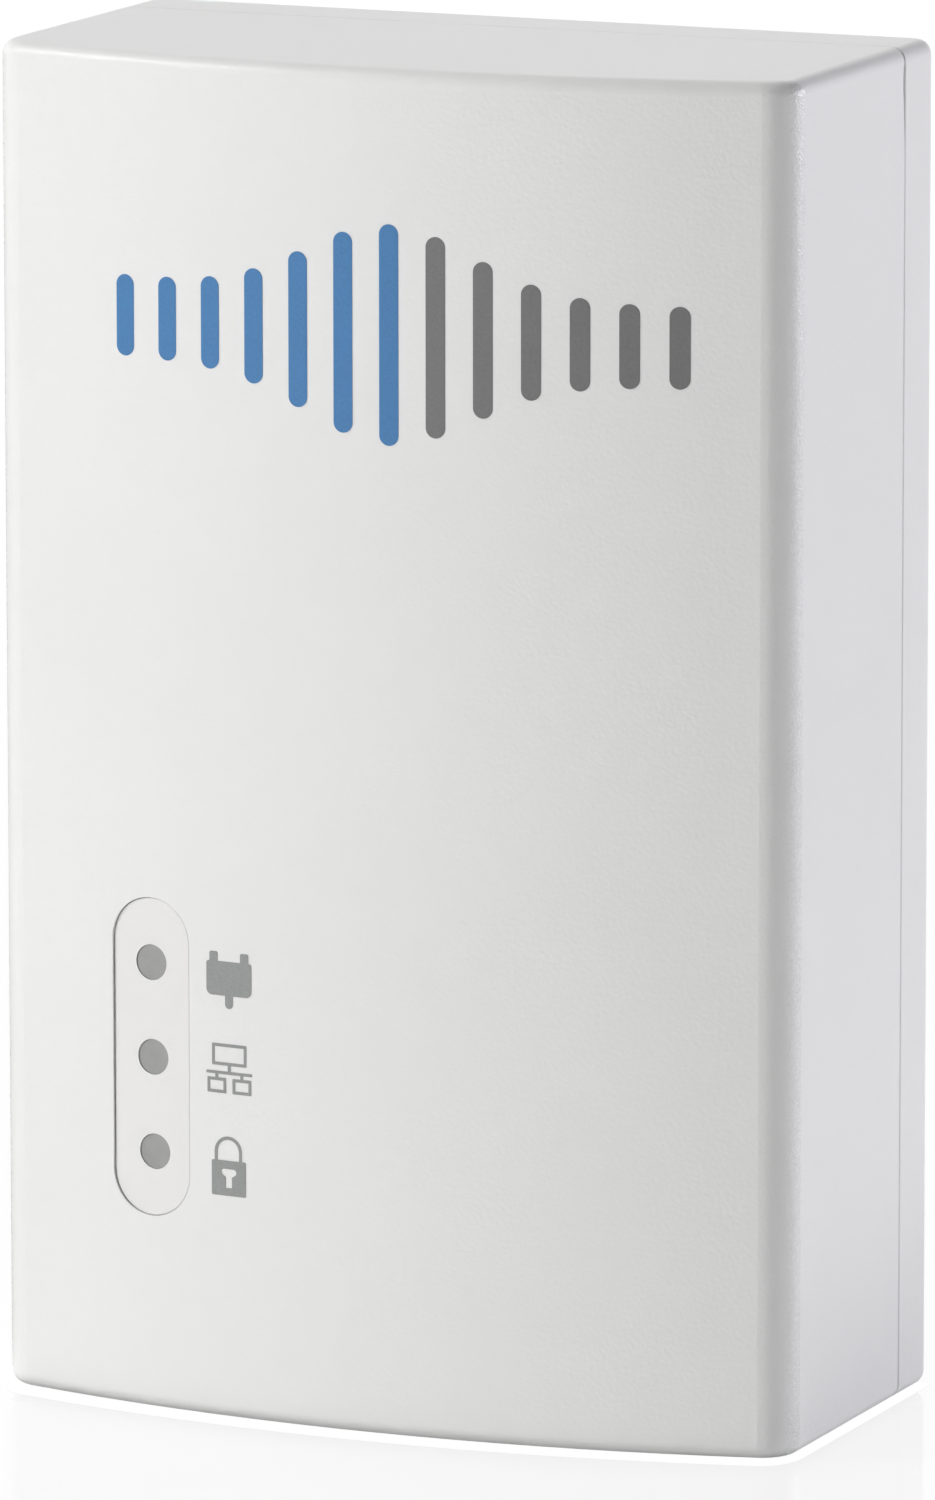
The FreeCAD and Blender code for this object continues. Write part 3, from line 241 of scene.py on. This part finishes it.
def board(name):
    """Solder mask over copper: raised paler traces that change direction from area to area."""
    m = Surface(name)
    black, white = (0, 0, 0), (1, 1, 1)
    traces = []
    for turn in (0.0, math.pi / 2):
        vector = m.scaled((PER_MM, PER_MM, PER_MM), rotation=(math.pi / 2, 0, turn))
        brick = m.node(
            "TexBrick",
            {"Scale": 1.0, "Mortar Size": 0.09, "Mortar Smooth": 0.1, "Brick Width": 19.0,
             "Row Height": 0.72, "Color1": black, "Color2": black, "Mortar": white,
             "Vector": vector},
            offset=0.31, offset_frequency=2, squash=0.55, squash_frequency=3)
        traces.append(brick.outputs["Fac"])
    area_color = m.voronoi(150.0, output="Color", randomness=0.85, distance="CHEBYCHEV")
    area = m.split("SeparateColor", area_color)
    turned = m.math("GREATER_THAN", area[0], 0.5)
    filled = m.math("GREATER_THAN", area[1], 0.22)
    trace = m.math("ADD", m.math("MULTIPLY", turned, traces[1]),
                   m.math("MULTIPLY", m.math("SUBTRACT", 1.0, turned), traces[0]))
    trace = m.math("MULTIPLY", trace, filled)
    plated_hole = m.math("LESS_THAN", m.voronoi(260.0), 0.09)
    weave = m.noise(2600.0)
    base = m.mix(m.remap(weave), (0.014, 0.095, 0.040), (0.020, 0.125, 0.055))
    base = m.mix(m.math("MULTIPLY", trace, 0.6), base, (0.045, 0.210, 0.085))
    base = m.mix(plated_hole, base, (0.62, 0.60, 0.52))
    normal = m.bump(m.blend_sum(trace, 1.0, weave, 0.2), 0.03, strength=0.8)
    return m.finish(base, m.remap(weave, to=(0.28, 0.42)), normal,
                    Coat_Weight=0.3, Coat_Roughness=0.2)


def sintered(name, color, rough=0.6):
    """Pressed and fired grains with small chips."""
    m = Surface(name)
    grains = m.noise(1800.0, detail=4.0, rough=0.65)
    chips = m.voronoi(700.0)
    broad = m.noise(150.0, detail=3.0)
    base = m.mix(m.remap(grains), shade(color, 0.8), shade(color, 1.25))
    base = m.mix(m.remap(broad, (0.4, 0.7), (0, 0.3)), base, shade(color, 1.5))
    height = m.math("ADD", grains, m.math("MULTIPLY", chips, 0.4))
    return m.finish(base, m.remap(grains, to=around(rough, 0.1, 0.12)), m.bump(height, 0.03))


def film(name, color, rough=0.22, grain=0.5, depth=0.01, cloud=1.0):
    """Dipped or sleeved gloss plastic with slight orange peel; cloud scales its mottling."""
    m = Surface(name)
    peel = m.noise(PER_MM / grain)
    broad = m.noise(120.0, detail=3.0, rough=0.6)
    base = m.mix(m.remap(broad, (0.35, 0.65)), shade(color, 1 - 0.10 * cloud),
                 shade(color, 1 + 0.08 * cloud))
    return m.finish(base, m.remap(peel, to=around(rough, 0.05, 0.08)), m.bump(peel, depth))


def wire(name, color):
    """Wire insulation, streaked along X."""
    m = Surface(name)
    streak = m.noise(1.0, detail=3.0, rough=0.6, vector=m.scaled((400, 1500, 1500)))
    fine = m.noise(3000.0)
    base = m.mix(m.remap(streak), shade(color, 0.85), shade(color, 1.1, lift=0.004))
    return m.finish(base, m.remap(streak, to=(0.38, 0.55)), m.bump(fine, 0.008))


def smoked(name):
    """Smoked diffusing plastic: grey, slightly clouded, satin."""
    m = Surface(name)
    cloud = m.noise(700.0, detail=3.0, rough=0.6)
    fine = m.noise(5200.0)
    base = m.mix(m.remap(cloud), (0.288, 0.290, 0.285), (0.328, 0.330, 0.324))
    return m.finish(base, m.remap(fine, to=(0.36, 0.5)), m.bump(fine, 0.006),
                    Coat_Weight=0.15, Coat_Roughness=0.3)


def ink(name, color):
    """Thin pad-printed ink of uneven density that follows the texture below."""
    m = Surface(name)
    fine = m.noise(4500.0, rough=0.6)
    pits = m.voronoi(2800.0)
    broad = m.noise(300.0, detail=3.0, rough=0.6)
    base = m.mix(m.remap(fine, (0.3, 0.75)), shade(color, 0.92), shade(color, 1.10))
    base = m.mix(m.remap(broad, to=(0, 0.3)), base, shade(color, 1.12))
    height = m.blend_sum(fine, 0.75, pits, 0.45)
    return m.finish(base, m.remap(fine, to=(0.4, 0.52)), m.bump(height, 0.010))


# ------------------------------------------------------------------ materials of the pieces
# slot name: (kind of material, its settings)
LOOKS = {
    "casing_white": (moulded, dict(color=(0.800, 0.800, 0.793), rough=0.42, grain=0.24,
                                   depth=0.020, tint=0.012, specks=0.02, glint=0.026)),
    "bezel_white": (moulded, dict(color=(0.778, 0.770, 0.758), rough=0.42, grain=0.20,
                                  depth=0.008, tint=0.012)),
    "light_guide": (smoked, {}),
    "button_white": (moulded, dict(color=(0.79, 0.79, 0.785), grain=0.20)),
    "plug_white": (moulded, dict(color=(0.74, 0.74, 0.732), rough=0.36, grain=0.35, depth=0.010)),
    "plug_metal": (metal, dict(color=(0.74, 0.715, 0.665), rough=0.22, line=0.05, depth=0.003)),
    "screw_steel": (metal, dict(color=(0.56, 0.57, 0.58), rough=0.30, axis="x", line=0.12,
                                stain=0.2)),
    "label_grey": (film, dict(color=(0.56, 0.57, 0.575), rough=0.36, grain=0.18, depth=0.003,
                              cloud=0.12)),
    "wire_black": (wire, dict(color=(0.022, 0.022, 0.022))),
    "wire_white": (wire, dict(color=(0.72, 0.72, 0.70))),
    "wire_green": (wire, dict(color=(0.03, 0.25, 0.07))),
    "board_green": (board, {}),
    "sheet_clear": (film, dict(color=(0.72, 0.66, 0.44), rough=0.25, grain=2.0, depth=0.02)),
    "fuse_brown": (film, dict(color=(0.06, 0.035, 0.025), rough=0.25)),
    "disc_blue": (film, dict(color=(0.03, 0.10, 0.38), rough=0.25, grain=1.2, depth=0.05)),
    "film_yellow": (film, dict(color=(0.66, 0.44, 0.05), rough=0.28, grain=0.8, depth=0.02)),
    "film_grey": (film, dict(color=(0.30, 0.31, 0.32), rough=0.30, grain=0.8, depth=0.02)),
    "ferrite": (sintered, dict(color=(0.045, 0.045, 0.048))),
    "copper_wire": (metal, dict(color=(0.66, 0.27, 0.10), rough=0.24, axis="x", line=0.3,
                                depth=0.006, stain=0.2)),
    "chip_black": (moulded, dict(color=(0.022, 0.022, 0.024), rough=0.5, grain=0.12,
                                 depth=0.010, tint=0.15)),
    "cap_sleeve": (film, dict(color=(0.020, 0.026, 0.060), rough=0.25, grain=1.5, depth=0.02)),
    "bobbin_black": (moulded, dict(color=(0.030, 0.030, 0.030), rough=0.42, grain=0.3,
                                   depth=0.010, tint=0.1)),
    "tape_yellow": (film, dict(color=(0.70, 0.52, 0.08), rough=0.2, grain=2.5, depth=0.03)),
    "pin_gold": (metal, dict(color=(0.86, 0.62, 0.24), rough=0.22, depth=0.002, stain=0.08)),
    "sink_aluminium": (metal, dict(color=(0.62, 0.63, 0.65), rough=0.35, axis="x", line=0.15,
                                   depth=0.008)),
    "pad_grey": (sintered, dict(color=(0.20, 0.24, 0.30), rough=0.75)),
    "can_steel": (metal, dict(color=(0.64, 0.64, 0.65), rough=0.3, axis="x", line=0.1,
                              depth=0.003, stain=0.12)),
    "chip_part": (sintered, dict(color=(0.30, 0.23, 0.17), rough=0.5)),
    "led_cream": (film, dict(color=(0.80, 0.78, 0.55), rough=0.2)),
    "shield_steel": (metal, dict(color=(0.62, 0.62, 0.62), rough=0.3, axis="z", line=0.08,
                                 depth=0.003, stain=0.15)),
    "jack_black": (moulded, dict(color=(0.020, 0.020, 0.021), rough=0.4, grain=0.2,
                                 depth=0.006, tint=0.1)),
    "dome_steel": (metal, dict(color=(0.60, 0.60, 0.60), rough=0.2, axis="x", line=0.1,
                               depth=0.002)),
    "plunger_black": (moulded, dict(color=(0.035, 0.035, 0.035), rough=0.42, grain=0.2,
                                    depth=0.006, tint=0.1)),
}
materials = {name: kind(name, **settings) for name, (kind, settings) in LOOKS.items()}
ink_grey = ink("ink_grey", (0.278, 0.287, 0.281))
ink_blue = ink("ink_blue", (0.042, 0.185, 0.420))
ink_dark = ink("ink_dark", (0.165, 0.165, 0.165))

for part in frame["record"]["subparts"]:
    slots = frame["nodes"][part["node"]].data.materials
    material = materials[part["material_slot"]]
    if not slots:
        slots.append(material)
    for i in range(len(slots)):
        slots[i] = material

# ------------------------------------------------------------------ printing on the front
# Outlines are lists of (x, z) in mm; a loop inside another cuts a hole in it.
INK_PROUD = 0.022 * MM
INK_SUNK = 0.010 * MM
STRIP_WIDTH = 0.45  # mm; the film is cut into strips so that it follows the bow
SAME_POINT = 1e-4  # mm


def arc(centre_x, centre_z, radius, start, end, steps=24):
    points = []
    for i in range(steps + 1):
        angle = math.radians(start + (end - start) * i / steps)
        points.append((centre_x + radius * math.cos(angle), centre_z + radius * math.sin(angle)))
    return points


def rounded_box(middle_x, half_width, z0, z1, radius, steps):
    x0, x1 = middle_x - half_width, middle_x + half_width
    r = min(radius, (x1 - x0) / 2, (z1 - z0) / 2)
    points = []
    for x, z, start in ((x1 - r, z1 - r, 0), (x0 + r, z1 - r, 90),
                        (x0 + r, z0 + r, 180), (x1 - r, z0 + r, 270)):
        points += arc(x, z, r, start, start + 90, steps)
    return points


def without_repeats(loop):
    kept = []
    for point in loop:
        if not kept or math.dist(point, kept[-1]) > SAME_POINT:
            kept.append(point)
    if math.dist(kept[0], kept[-1]) < SAME_POINT:
        kept.pop()
    return kept


def filled_mesh(name, loops):
    """Fill the outlines as a flat curve and return the mesh."""
    curve = bpy.data.curves.new(name, "CURVE")
    curve.dimensions = "2D"
    curve.fill_mode = "BOTH"
    for loop in map(without_repeats, loops):
        spline = curve.splines.new("POLY")
        spline.points.add(len(loop) - 1)
        for i, (x, z) in enumerate(loop):
            spline.points[i].co = (x, z, 0, 1)
        spline.use_cyclic_u = True
    outline = bpy.data.objects.new(name + "_outline", curve)
    scene.collection.objects.link(outline)
    depsgraph = bpy.context.evaluated_depsgraph_get()
    mesh = bpy.data.meshes.new_from_object(outline.evaluated_get(depsgraph))
    bpy.data.objects.remove(outline)
    bpy.data.curves.remove(curve)
    return mesh


def print_piece(name, loops, material):
    """Lay a thin printed film with these outlines on the bowed front."""
    flat = filled_mesh(name, loops)
    bm = bmesh.new()
    bm.from_mesh(flat)
    bpy.data.meshes.remove(flat)
    bmesh.ops.remove_doubles(bm, verts=bm.verts, dist=1e-5)
    bmesh.ops.dissolve_limit(bm, angle_limit=math.radians(0.5), verts=bm.verts, edges=bm.edges)

    xs = [vert.co.x for vert in bm.verts]
    left, right = min(xs), max(xs)
    x = math.ceil(left / STRIP_WIDTH) * STRIP_WIDTH
    while x < right:
        if x - left > 1e-3 and right - x > 1e-3:
            bmesh.ops.bisect_plane(bm, geom=bm.verts[:] + bm.edges[:] + bm.faces[:], dist=1e-5,
                                   plane_co=(x, 0, 0), plane_no=(1, 0, 0))
        x += STRIP_WIDTH

    faces = bm.faces[:]
    for face in faces:
        if face.normal.z < 0:
            face.normal_flip()
    extruded = bmesh.ops.extrude_face_region(bm, geom=faces)["geom"]
    sunk = {item for item in extruded if isinstance(item, bmesh.types.BMVert)}
    for vert in bm.verts:
        x, z = vert.co.x * MM, vert.co.y * MM
        vert.co = Vector((x, front_y(x, -INK_SUNK if vert in sunk else INK_PROUD), z))
    bmesh.ops.recalc_face_normals(bm, faces=bm.faces[:])

    film_piece = add_object(name, bm)
    film_piece.data.materials.append(material)
    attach(film_piece, "root")


def power_icon(x, z):
    """Mains plug with two pins up and a round-ended stub of cable below."""
    left, right = x - 1.97, x + 1.97
    top, bottom = z + 1.42, z - 1.24
    top_radius, bottom_radius = 0.2, 0.48
    pin_offset, pin_half, pin_top, pin_radius = 1.34, 0.36, z + 2.16, 0.16
    cable_half, cable_bottom = 0.34, z - 2.24

    loop = arc(left + bottom_radius, bottom + bottom_radius, bottom_radius, 270, 180, 8)
    loop += arc(left + top_radius, top - top_radius, top_radius, 180, 90, 4)
    for pin_x in (x - pin_offset, x + pin_offset):
        pin_left, pin_right = pin_x - pin_half, pin_x + pin_half
        loop.append((pin_left, top))
        loop += arc(pin_left + pin_radius, pin_top - pin_radius, pin_radius, 180, 90, 4)
        loop += arc(pin_right - pin_radius, pin_top - pin_radius, pin_radius, 90, 0, 4)
        loop.append((pin_right, top))
    loop += arc(right - top_radius, top - top_radius, top_radius, 90, 0, 4)
    loop += arc(right - bottom_radius, bottom + bottom_radius, bottom_radius, 0, -90, 8)
    loop.append((x + cable_half, bottom))
    loop += arc(x, cable_bottom + cable_half, cable_half, 0, -180, 10)
    loop.append((x - cable_half, bottom))
    return [loop]


def network_icon(x, z):
    """A large open box above a level line and two small open boxes below it."""
    stroke = 0.24
    line_top, line_bottom = z - 0.26, z - 0.49
    gap = 0.01  # between touching shapes, so that their outlines stay apart

    def open_box(middle_x, half_width, z0, z1, radius, steps):
        inner = rounded_box(middle_x, half_width - stroke, z0 + stroke, z1 - stroke, 0.02, 2)
        return [rounded_box(middle_x, half_width, z0, z1, radius, steps), inner]

    def stem(middle_x, z0, z1):
        return rounded_box(middle_x, 0.13, z0, z1, 0.0005, 1)

    loops = open_box(x, 1.51, z + 0.20, z + 1.89, 0.07, 3)
    loops.append(stem(x, line_top + gap, z + 0.20 - gap))
    loops.append(rounded_box(x, 2.0, line_bottom, line_top, 0.05, 2))
    for side in (-1, 1):
        box_x, box_top = x + side * 1.10, z - 0.77
        loops.append(stem(box_x, box_top + gap, line_bottom - gap))
        loops += open_box(box_x, 0.82, z - 1.97, box_top, 0.06, 2)
    return loops


def lock_icon(x, z):
    """Padlock with a wide keyhole."""
    shackle_x, outer_radius = x - 0.04, 1.20
    inner_radius = outer_radius - 0.26
    shackle_z, shackle_foot = z + 2.36 - outer_radius, z + 0.48
    shackle = arc(shackle_x, shackle_z, outer_radius, 0, 180, 20)
    shackle += [(shackle_x - outer_radius, shackle_foot), (shackle_x - inner_radius, shackle_foot)]
    shackle += arc(shackle_x, shackle_z, inner_radius, 180, 0, 20)
    shackle += [(shackle_x + inner_radius, shackle_foot), (shackle_x + outer_radius, shackle_foot)]

    body = rounded_box(x, 1.5, z - 2.27, z + 0.47, 0.12, 4)

    hole_top, end_offset, end_drop, end_radius = z - 0.16, 0.40, 0.28, 0.26
    slot_half, slot_top, slot_bottom = 0.27, hole_top - 0.66, hole_top - 1.50
    keyhole = arc(x + end_offset, hole_top - end_drop, end_radius, -60, 90, 8)
    keyhole += arc(x - end_offset, hole_top - end_drop, end_radius, 90, 240, 8)
    keyhole += [(x - slot_half, slot_top), (x - slot_half, slot_bottom),
                (x + slot_half, slot_bottom), (x + slot_half, slot_top)]
    return [shackle, body, keyhole]


print_piece("icon_power", power_icon(-11.65, -46.65), ink_grey)
print_piece("icon_network", network_icon(-11.65, -53.52), ink_grey)
print_piece("icon_lock", lock_icon(-11.72, -61.2), ink_grey)

# a two-colour row of upright round-ended bars, tallest in the middle (mm)
BAR_COUNT, BLUE_BARS = 13, 7
BAR_FIRST_X, BAR_LAST_X, BAR_Z = -20.6, 24.6, 3.9
BAR_HALF_WIDTH = 0.78
BAR_HALF_HEIGHT, BAR_SWELL, SWELL_SPREAD = 3.1, 5.3, 0.21
for i in range(BAR_COUNT):
    along = i / (BAR_COUNT - 1)
    x = BAR_FIRST_X + (BAR_LAST_X - BAR_FIRST_X) * along
    half_height = BAR_HALF_HEIGHT + BAR_SWELL * math.exp(-((along - 0.5) / SWELL_SPREAD) ** 2)
    bar = rounded_box(x, BAR_HALF_WIDTH, BAR_Z - half_height, BAR_Z + half_height,
                      BAR_HALF_WIDTH, 10)
    print_piece("front_bar_%02d" % (i + 1), [bar], ink_blue if i < BLUE_BARS else ink_dark)

# ------------------------------------------------------------------ floor
YAW, PITCH, ROLL = math.radians(23.4057), math.radians(10.3839), math.radians(-0.0413)
TOWARDS_CAMERA = (math.sin(YAW), -math.cos(YAW), 0)  # level direction
FLOOR_Z = BOTTOM_Z - 0.25 * MM
FLOOR_GLOW = 0.985  # white shown by floor and surroundings
FLOOR_LIT = 0.06  # share of lit surface near the object, seen from the front
FLOOR_MATT = 0.35  # the same, seen from elsewhere
FLOOR_MIRROR = 0.46  # strength of the mirror image
FLOOR_BOUNCE = 0.86  # grey value that the object's light meets
FLOOR_UP = 0.315  # extra light given upward
FLOOR_CARD = 0.85  # how much of both is held back at the left
FLOOR_STRIP = 0.9  # how much is added in the strip at the right


def view_from_front(graph, geometry):
    """Dot product of the view direction with TOWARDS_CAMERA."""
    inputs = {0: geometry["Incoming"], 1: TOWARDS_CAMERA}
    return graph.node("VectorMath", inputs, operation="DOT_PRODUCT").outputs["Value"]


def seen_floor(g, geometry):
    """A pale sheet with a faint mirror image when looked at from the front."""
    ahead = g.remap(view_from_front(g, geometry), (0.55, 0.90), smooth=True)
    glow = g.first("Emission", {1: FLOOR_GLOW})
    lit = g.first("BsdfDiffuse", {0: (0.86, 0.86, 0.86)})
    lit_share = g.remap(ahead, (0.0, 1.0), (FLOOR_MATT, FLOOR_LIT))
    distance = g.node("VectorMath", {0: geometry["Position"]}, operation="LENGTH")
    near = g.remap(distance.outputs["Value"], (0.16, 0.75), (1.0, 0.0), smooth=True)
    sheet = g.mix_shader(g.math("MULTIPLY", lit_share, near), glow, lit)
    gloss = g.first("BsdfGlossy", {"Color": (1, 1, 1), "Roughness": 0.03})
    mirror = g.math("MULTIPLY", g.first("Fresnel", {0: 1.5}), FLOOR_MIRROR)
    facing = g.mix_shader(g.math("MULTIPLY", mirror, ahead), sheet, gloss)
    # clear from below, so that the underside can be looked at
    return g.mix_shader(geometry["Backfacing"], facing, g.first("BsdfTransparent"))


def received_light(g, geometry):
    """What the object receives from the floor."""
    x, y, _ = g.split("SeparateXYZ", geometry["Position"])
    # less from the area left of the front
    left = g.remap(x, (-0.043, -0.035), (1.0, 0.0))
    behind = g.remap(y, (-0.034, -0.028), (0.0, FLOOR_CARD))
    rest = g.math("SUBTRACT", 1.0, g.math("MULTIPLY", left, behind))
    # more from a strip at the right that reaches behind the object
    edges = []
    for coordinate, fade_in, fade_out in ((x, (0.050, 0.062), (0.100, 0.115)),
                                          (y, (-0.012, 0.004), (0.080, 0.095))):
        edges += [g.remap(coordinate, fade_in), g.remap(coordinate, fade_out, (1.0, 0.0))]
    strip = edges[0]
    for edge in edges[1:]:
        strip = g.math("MULTIPLY", strip, edge)
    amount = g.math("MULTIPLY_ADD", strip, FLOOR_STRIP, rest)
    bounce = g.math("MULTIPLY", FLOOR_BOUNCE, amount, name="floor_soft_by_place")
    upward = g.math("MULTIPLY", FLOOR_UP, amount, name="floor_up_by_place")
    return g.add_shader(g.first("BsdfDiffuse", {0: bounce}),
                        g.first("Emission", {1: upward}, name="floor_up"))


def make_floor():
    bm = bmesh.new()
    bmesh.ops.create_grid(bm, x_segments=2, y_segments=2, size=3.0)
    floor = add_object("floor", bm)
    floor.location = (0, 0, FLOOR_Z)
    material = bpy.data.materials.new("floor")
    g = Graph(material)
    geometry = g.node("NewGeometry").outputs
    is_camera = g.node("LightPath").outputs["Is Camera Ray"]
    look = g.mix_shader(is_camera, received_light(g, geometry), seen_floor(g, geometry))
    g.node("OutputMaterial", {0: look})
    floor.data.materials.append(material)


def make_rim():
    """Clean white rim of the floor around the foot of the casing, a little wider at the left."""
    side_margin, left_margin, right_margin = 0.12 * MM, 1.2 * MM, 0.7 * MM
    radius = 3.0 * MM
    front_steps, corner_steps = 24, 10
    corner_x = HALF_WIDTH - radius
    corner_y = front_y(corner_x) + radius

    def corner(side, margin):
        points = []
        for i in range(1, corner_steps + 1):
            angle = math.pi / 2 * i / corner_steps
            points.append((side * (corner_x + (radius + side_margin) * math.sin(angle)),
                           corner_y - (radius + margin) * math.cos(angle)))
        return points

    front = []
    for i in range(front_steps + 1):
        x = -corner_x + 2 * corner_x * i / front_steps
        margin = left_margin + (right_margin - left_margin) * i / front_steps
        front.append((x, front_y(x, margin)))
    outline = [(-HALF_WIDTH - side_margin, side_margin)] + corner(-1, left_margin)[::-1] + front
    outline += corner(1, right_margin) + [(HALF_WIDTH + side_margin, side_margin)]

    bm = bmesh.new()
    bm.faces.new([bm.verts.new((x, y, 0)) for x, y in outline])
    bmesh.ops.recalc_face_normals(bm, faces=bm.faces[:])
    rim = add_object("floor_rim", bm)
    rim.location = (0, 0, FLOOR_Z + 0.02 * MM)

    material = bpy.data.materials.new("floor_rim")
    g = Graph(material)
    geometry = g.node("NewGeometry").outputs
    is_camera = g.node("LightPath").outputs["Is Camera Ray"]
    white = g.first("Emission", name="rim_white")
    # dim grey for the light that meets it, clear to a camera elsewhere
    dim = g.add_shader(g.first("BsdfDiffuse", {0: (0.40, 0.40, 0.40)}),
                       g.first("Emission", {1: 0.14}))
    hidden = g.mix_shader(is_camera, dim, g.first("BsdfTransparent"))
    ahead = g.math("GREATER_THAN", view_from_front(g, geometry), 0.85)
    above = g.math("SUBTRACT", 1.0, geometry["Backfacing"])
    shown = g.math("MULTIPLY", g.math("MULTIPLY", ahead, is_camera), above)
    g.node("OutputMaterial", {0: g.mix_shader(shown, hidden, white)})
    rim.data.materials.append(material)


make_floor()
make_rim()

# ------------------------------------------------------------------ studio light
LIGHT_TARGET = Vector((0, -0.015, -0.03))


def area_light(name, azimuth, elevation, distance, width, power, color=(1, 1, 1), height=None):
    """Aim a lamp at the target; azimuth runs from the front (-Y) towards +X, in degrees."""
    turn, rise = math.radians(azimuth), math.radians(elevation)
    direction = Vector((math.sin(turn) * math.cos(rise), -math.cos(turn) * math.cos(rise),
                        math.sin(rise)))
    light = bpy.data.lights.new(name, "AREA")
    light.shape = "RECTANGLE"
    light.size = width
    light.size_y = height or width
    light.energy = power
    light.color = color
    lamp = bpy.data.objects.new(name, light)
    lamp.location = LIGHT_TARGET + direction * distance
    lamp.rotation_euler = direction.to_track_quat("Z", "Y").to_euler()
    scene.collection.objects.link(lamp)


area_light("key", azimuth=-57, elevation=36, distance=2.2, width=0.3, power=28.0,
           color=(1.0, 1.0, 0.998))
area_light("fill", azimuth=-30, elevation=4, distance=2.2, width=1.1, power=15.5,
           color=(1.0, 1.0, 0.997))
area_light("side", azimuth=127, elevation=3, distance=2.2, width=0.80, height=1.4, power=39.5,
           color=(0.930, 0.922, 1.0))
area_light("top_left", azimuth=-90, elevation=60, distance=2.0, width=1.2, power=7.0)
area_light("back", azimuth=200, elevation=45, distance=2.4, width=1.3, power=10.3)


# ------------------------------------------------------------------ surroundings
BACKDROP_TURN = math.radians(156.6)  # from the front (-Y) towards -X
BACKDROP_STRENGTH = 1.4


def make_world():
    """White to the camera, a pale low backdrop behind the object, dark elsewhere."""
    world = bpy.data.worlds.new("studio")
    scene.world = world
    g = Graph(world)
    x, y, z = g.split("SeparateXYZ", g.node("TexCoord").outputs["Generated"])
    path = g.node("LightPath").outputs
    facing = g.math("ADD", g.math("MULTIPLY", x, math.sin(-BACKDROP_TURN)),
                    g.math("MULTIPLY", y, -math.cos(BACKDROP_TURN)))
    toward = g.remap(facing, (0.25, 0.85), smooth=True)
    low = g.remap(z, (0.35, 0.75), (1.0, 0.0), smooth=True)
    # diffuse rays do not meet the backdrop: it only shows as a sheen
    sheen = g.math("MULTIPLY", g.math("SUBTRACT", 1.0, path["Is Diffuse Ray"]),
                   BACKDROP_STRENGTH)
    strength = g.math("MULTIPLY", g.math("MULTIPLY", toward, low), sheen)
    ambient = g.first("Background", {1: 0.0}, name="ambient")
    backdrop = g.first("Background", {1: strength}, name="backdrop")
    white = g.first("Background", {0: (1, 1, 1), 1: FLOOR_GLOW}, name="white")
    unseen = g.add_shader(ambient, backdrop)
    g.node("OutputWorld", {0: g.mix_shader(path["Is Camera Ray"], unseen, white)})


make_world()

# ------------------------------------------------------------------ camera
CAMERA_DISTANCE = 0.99307
SHIFT_RIGHT, SHIFT_UP = -0.0056539, -0.0049685  # of the camera in its own plane
FOCAL_LENGTH, SENSOR_WIDTH = 305.8344, 36.0  # mm


def make_camera():
    back = Vector((math.sin(YAW) * math.cos(PITCH), -math.cos(YAW) * math.cos(PITCH),
                   math.sin(PITCH)))
    level_right = Vector((math.cos(YAW), math.sin(YAW), 0))
    level_up = back.cross(level_right)
    right = level_right * math.cos(ROLL) + level_up * math.sin(ROLL)
    up = -level_right * math.sin(ROLL) + level_up * math.cos(ROLL)
    middle = Vector((0, 0, (BOTTOM_Z + TOP_Z) / 2))
    place = middle + back * CAMERA_DISTANCE + right * SHIFT_RIGHT + up * SHIFT_UP

    lens = bpy.data.cameras.new("camera")
    lens.sensor_fit = "AUTO"
    lens.sensor_width = SENSOR_WIDTH
    lens.lens = FOCAL_LENGTH
    lens.clip_start = 0.01
    lens.clip_end = 20
    camera = bpy.data.objects.new("camera", lens)
    rows = [(right[i], up[i], back[i], place[i]) for i in range(3)]
    camera.matrix_world = Matrix((*rows, (0, 0, 0, 1)))
    scene.collection.objects.link(camera)
    scene.camera = camera


make_camera()

view = scene.view_settings
view.view_transform = "Standard"
view.look = "None"
view.exposure = 0.0
view.gamma = 1.0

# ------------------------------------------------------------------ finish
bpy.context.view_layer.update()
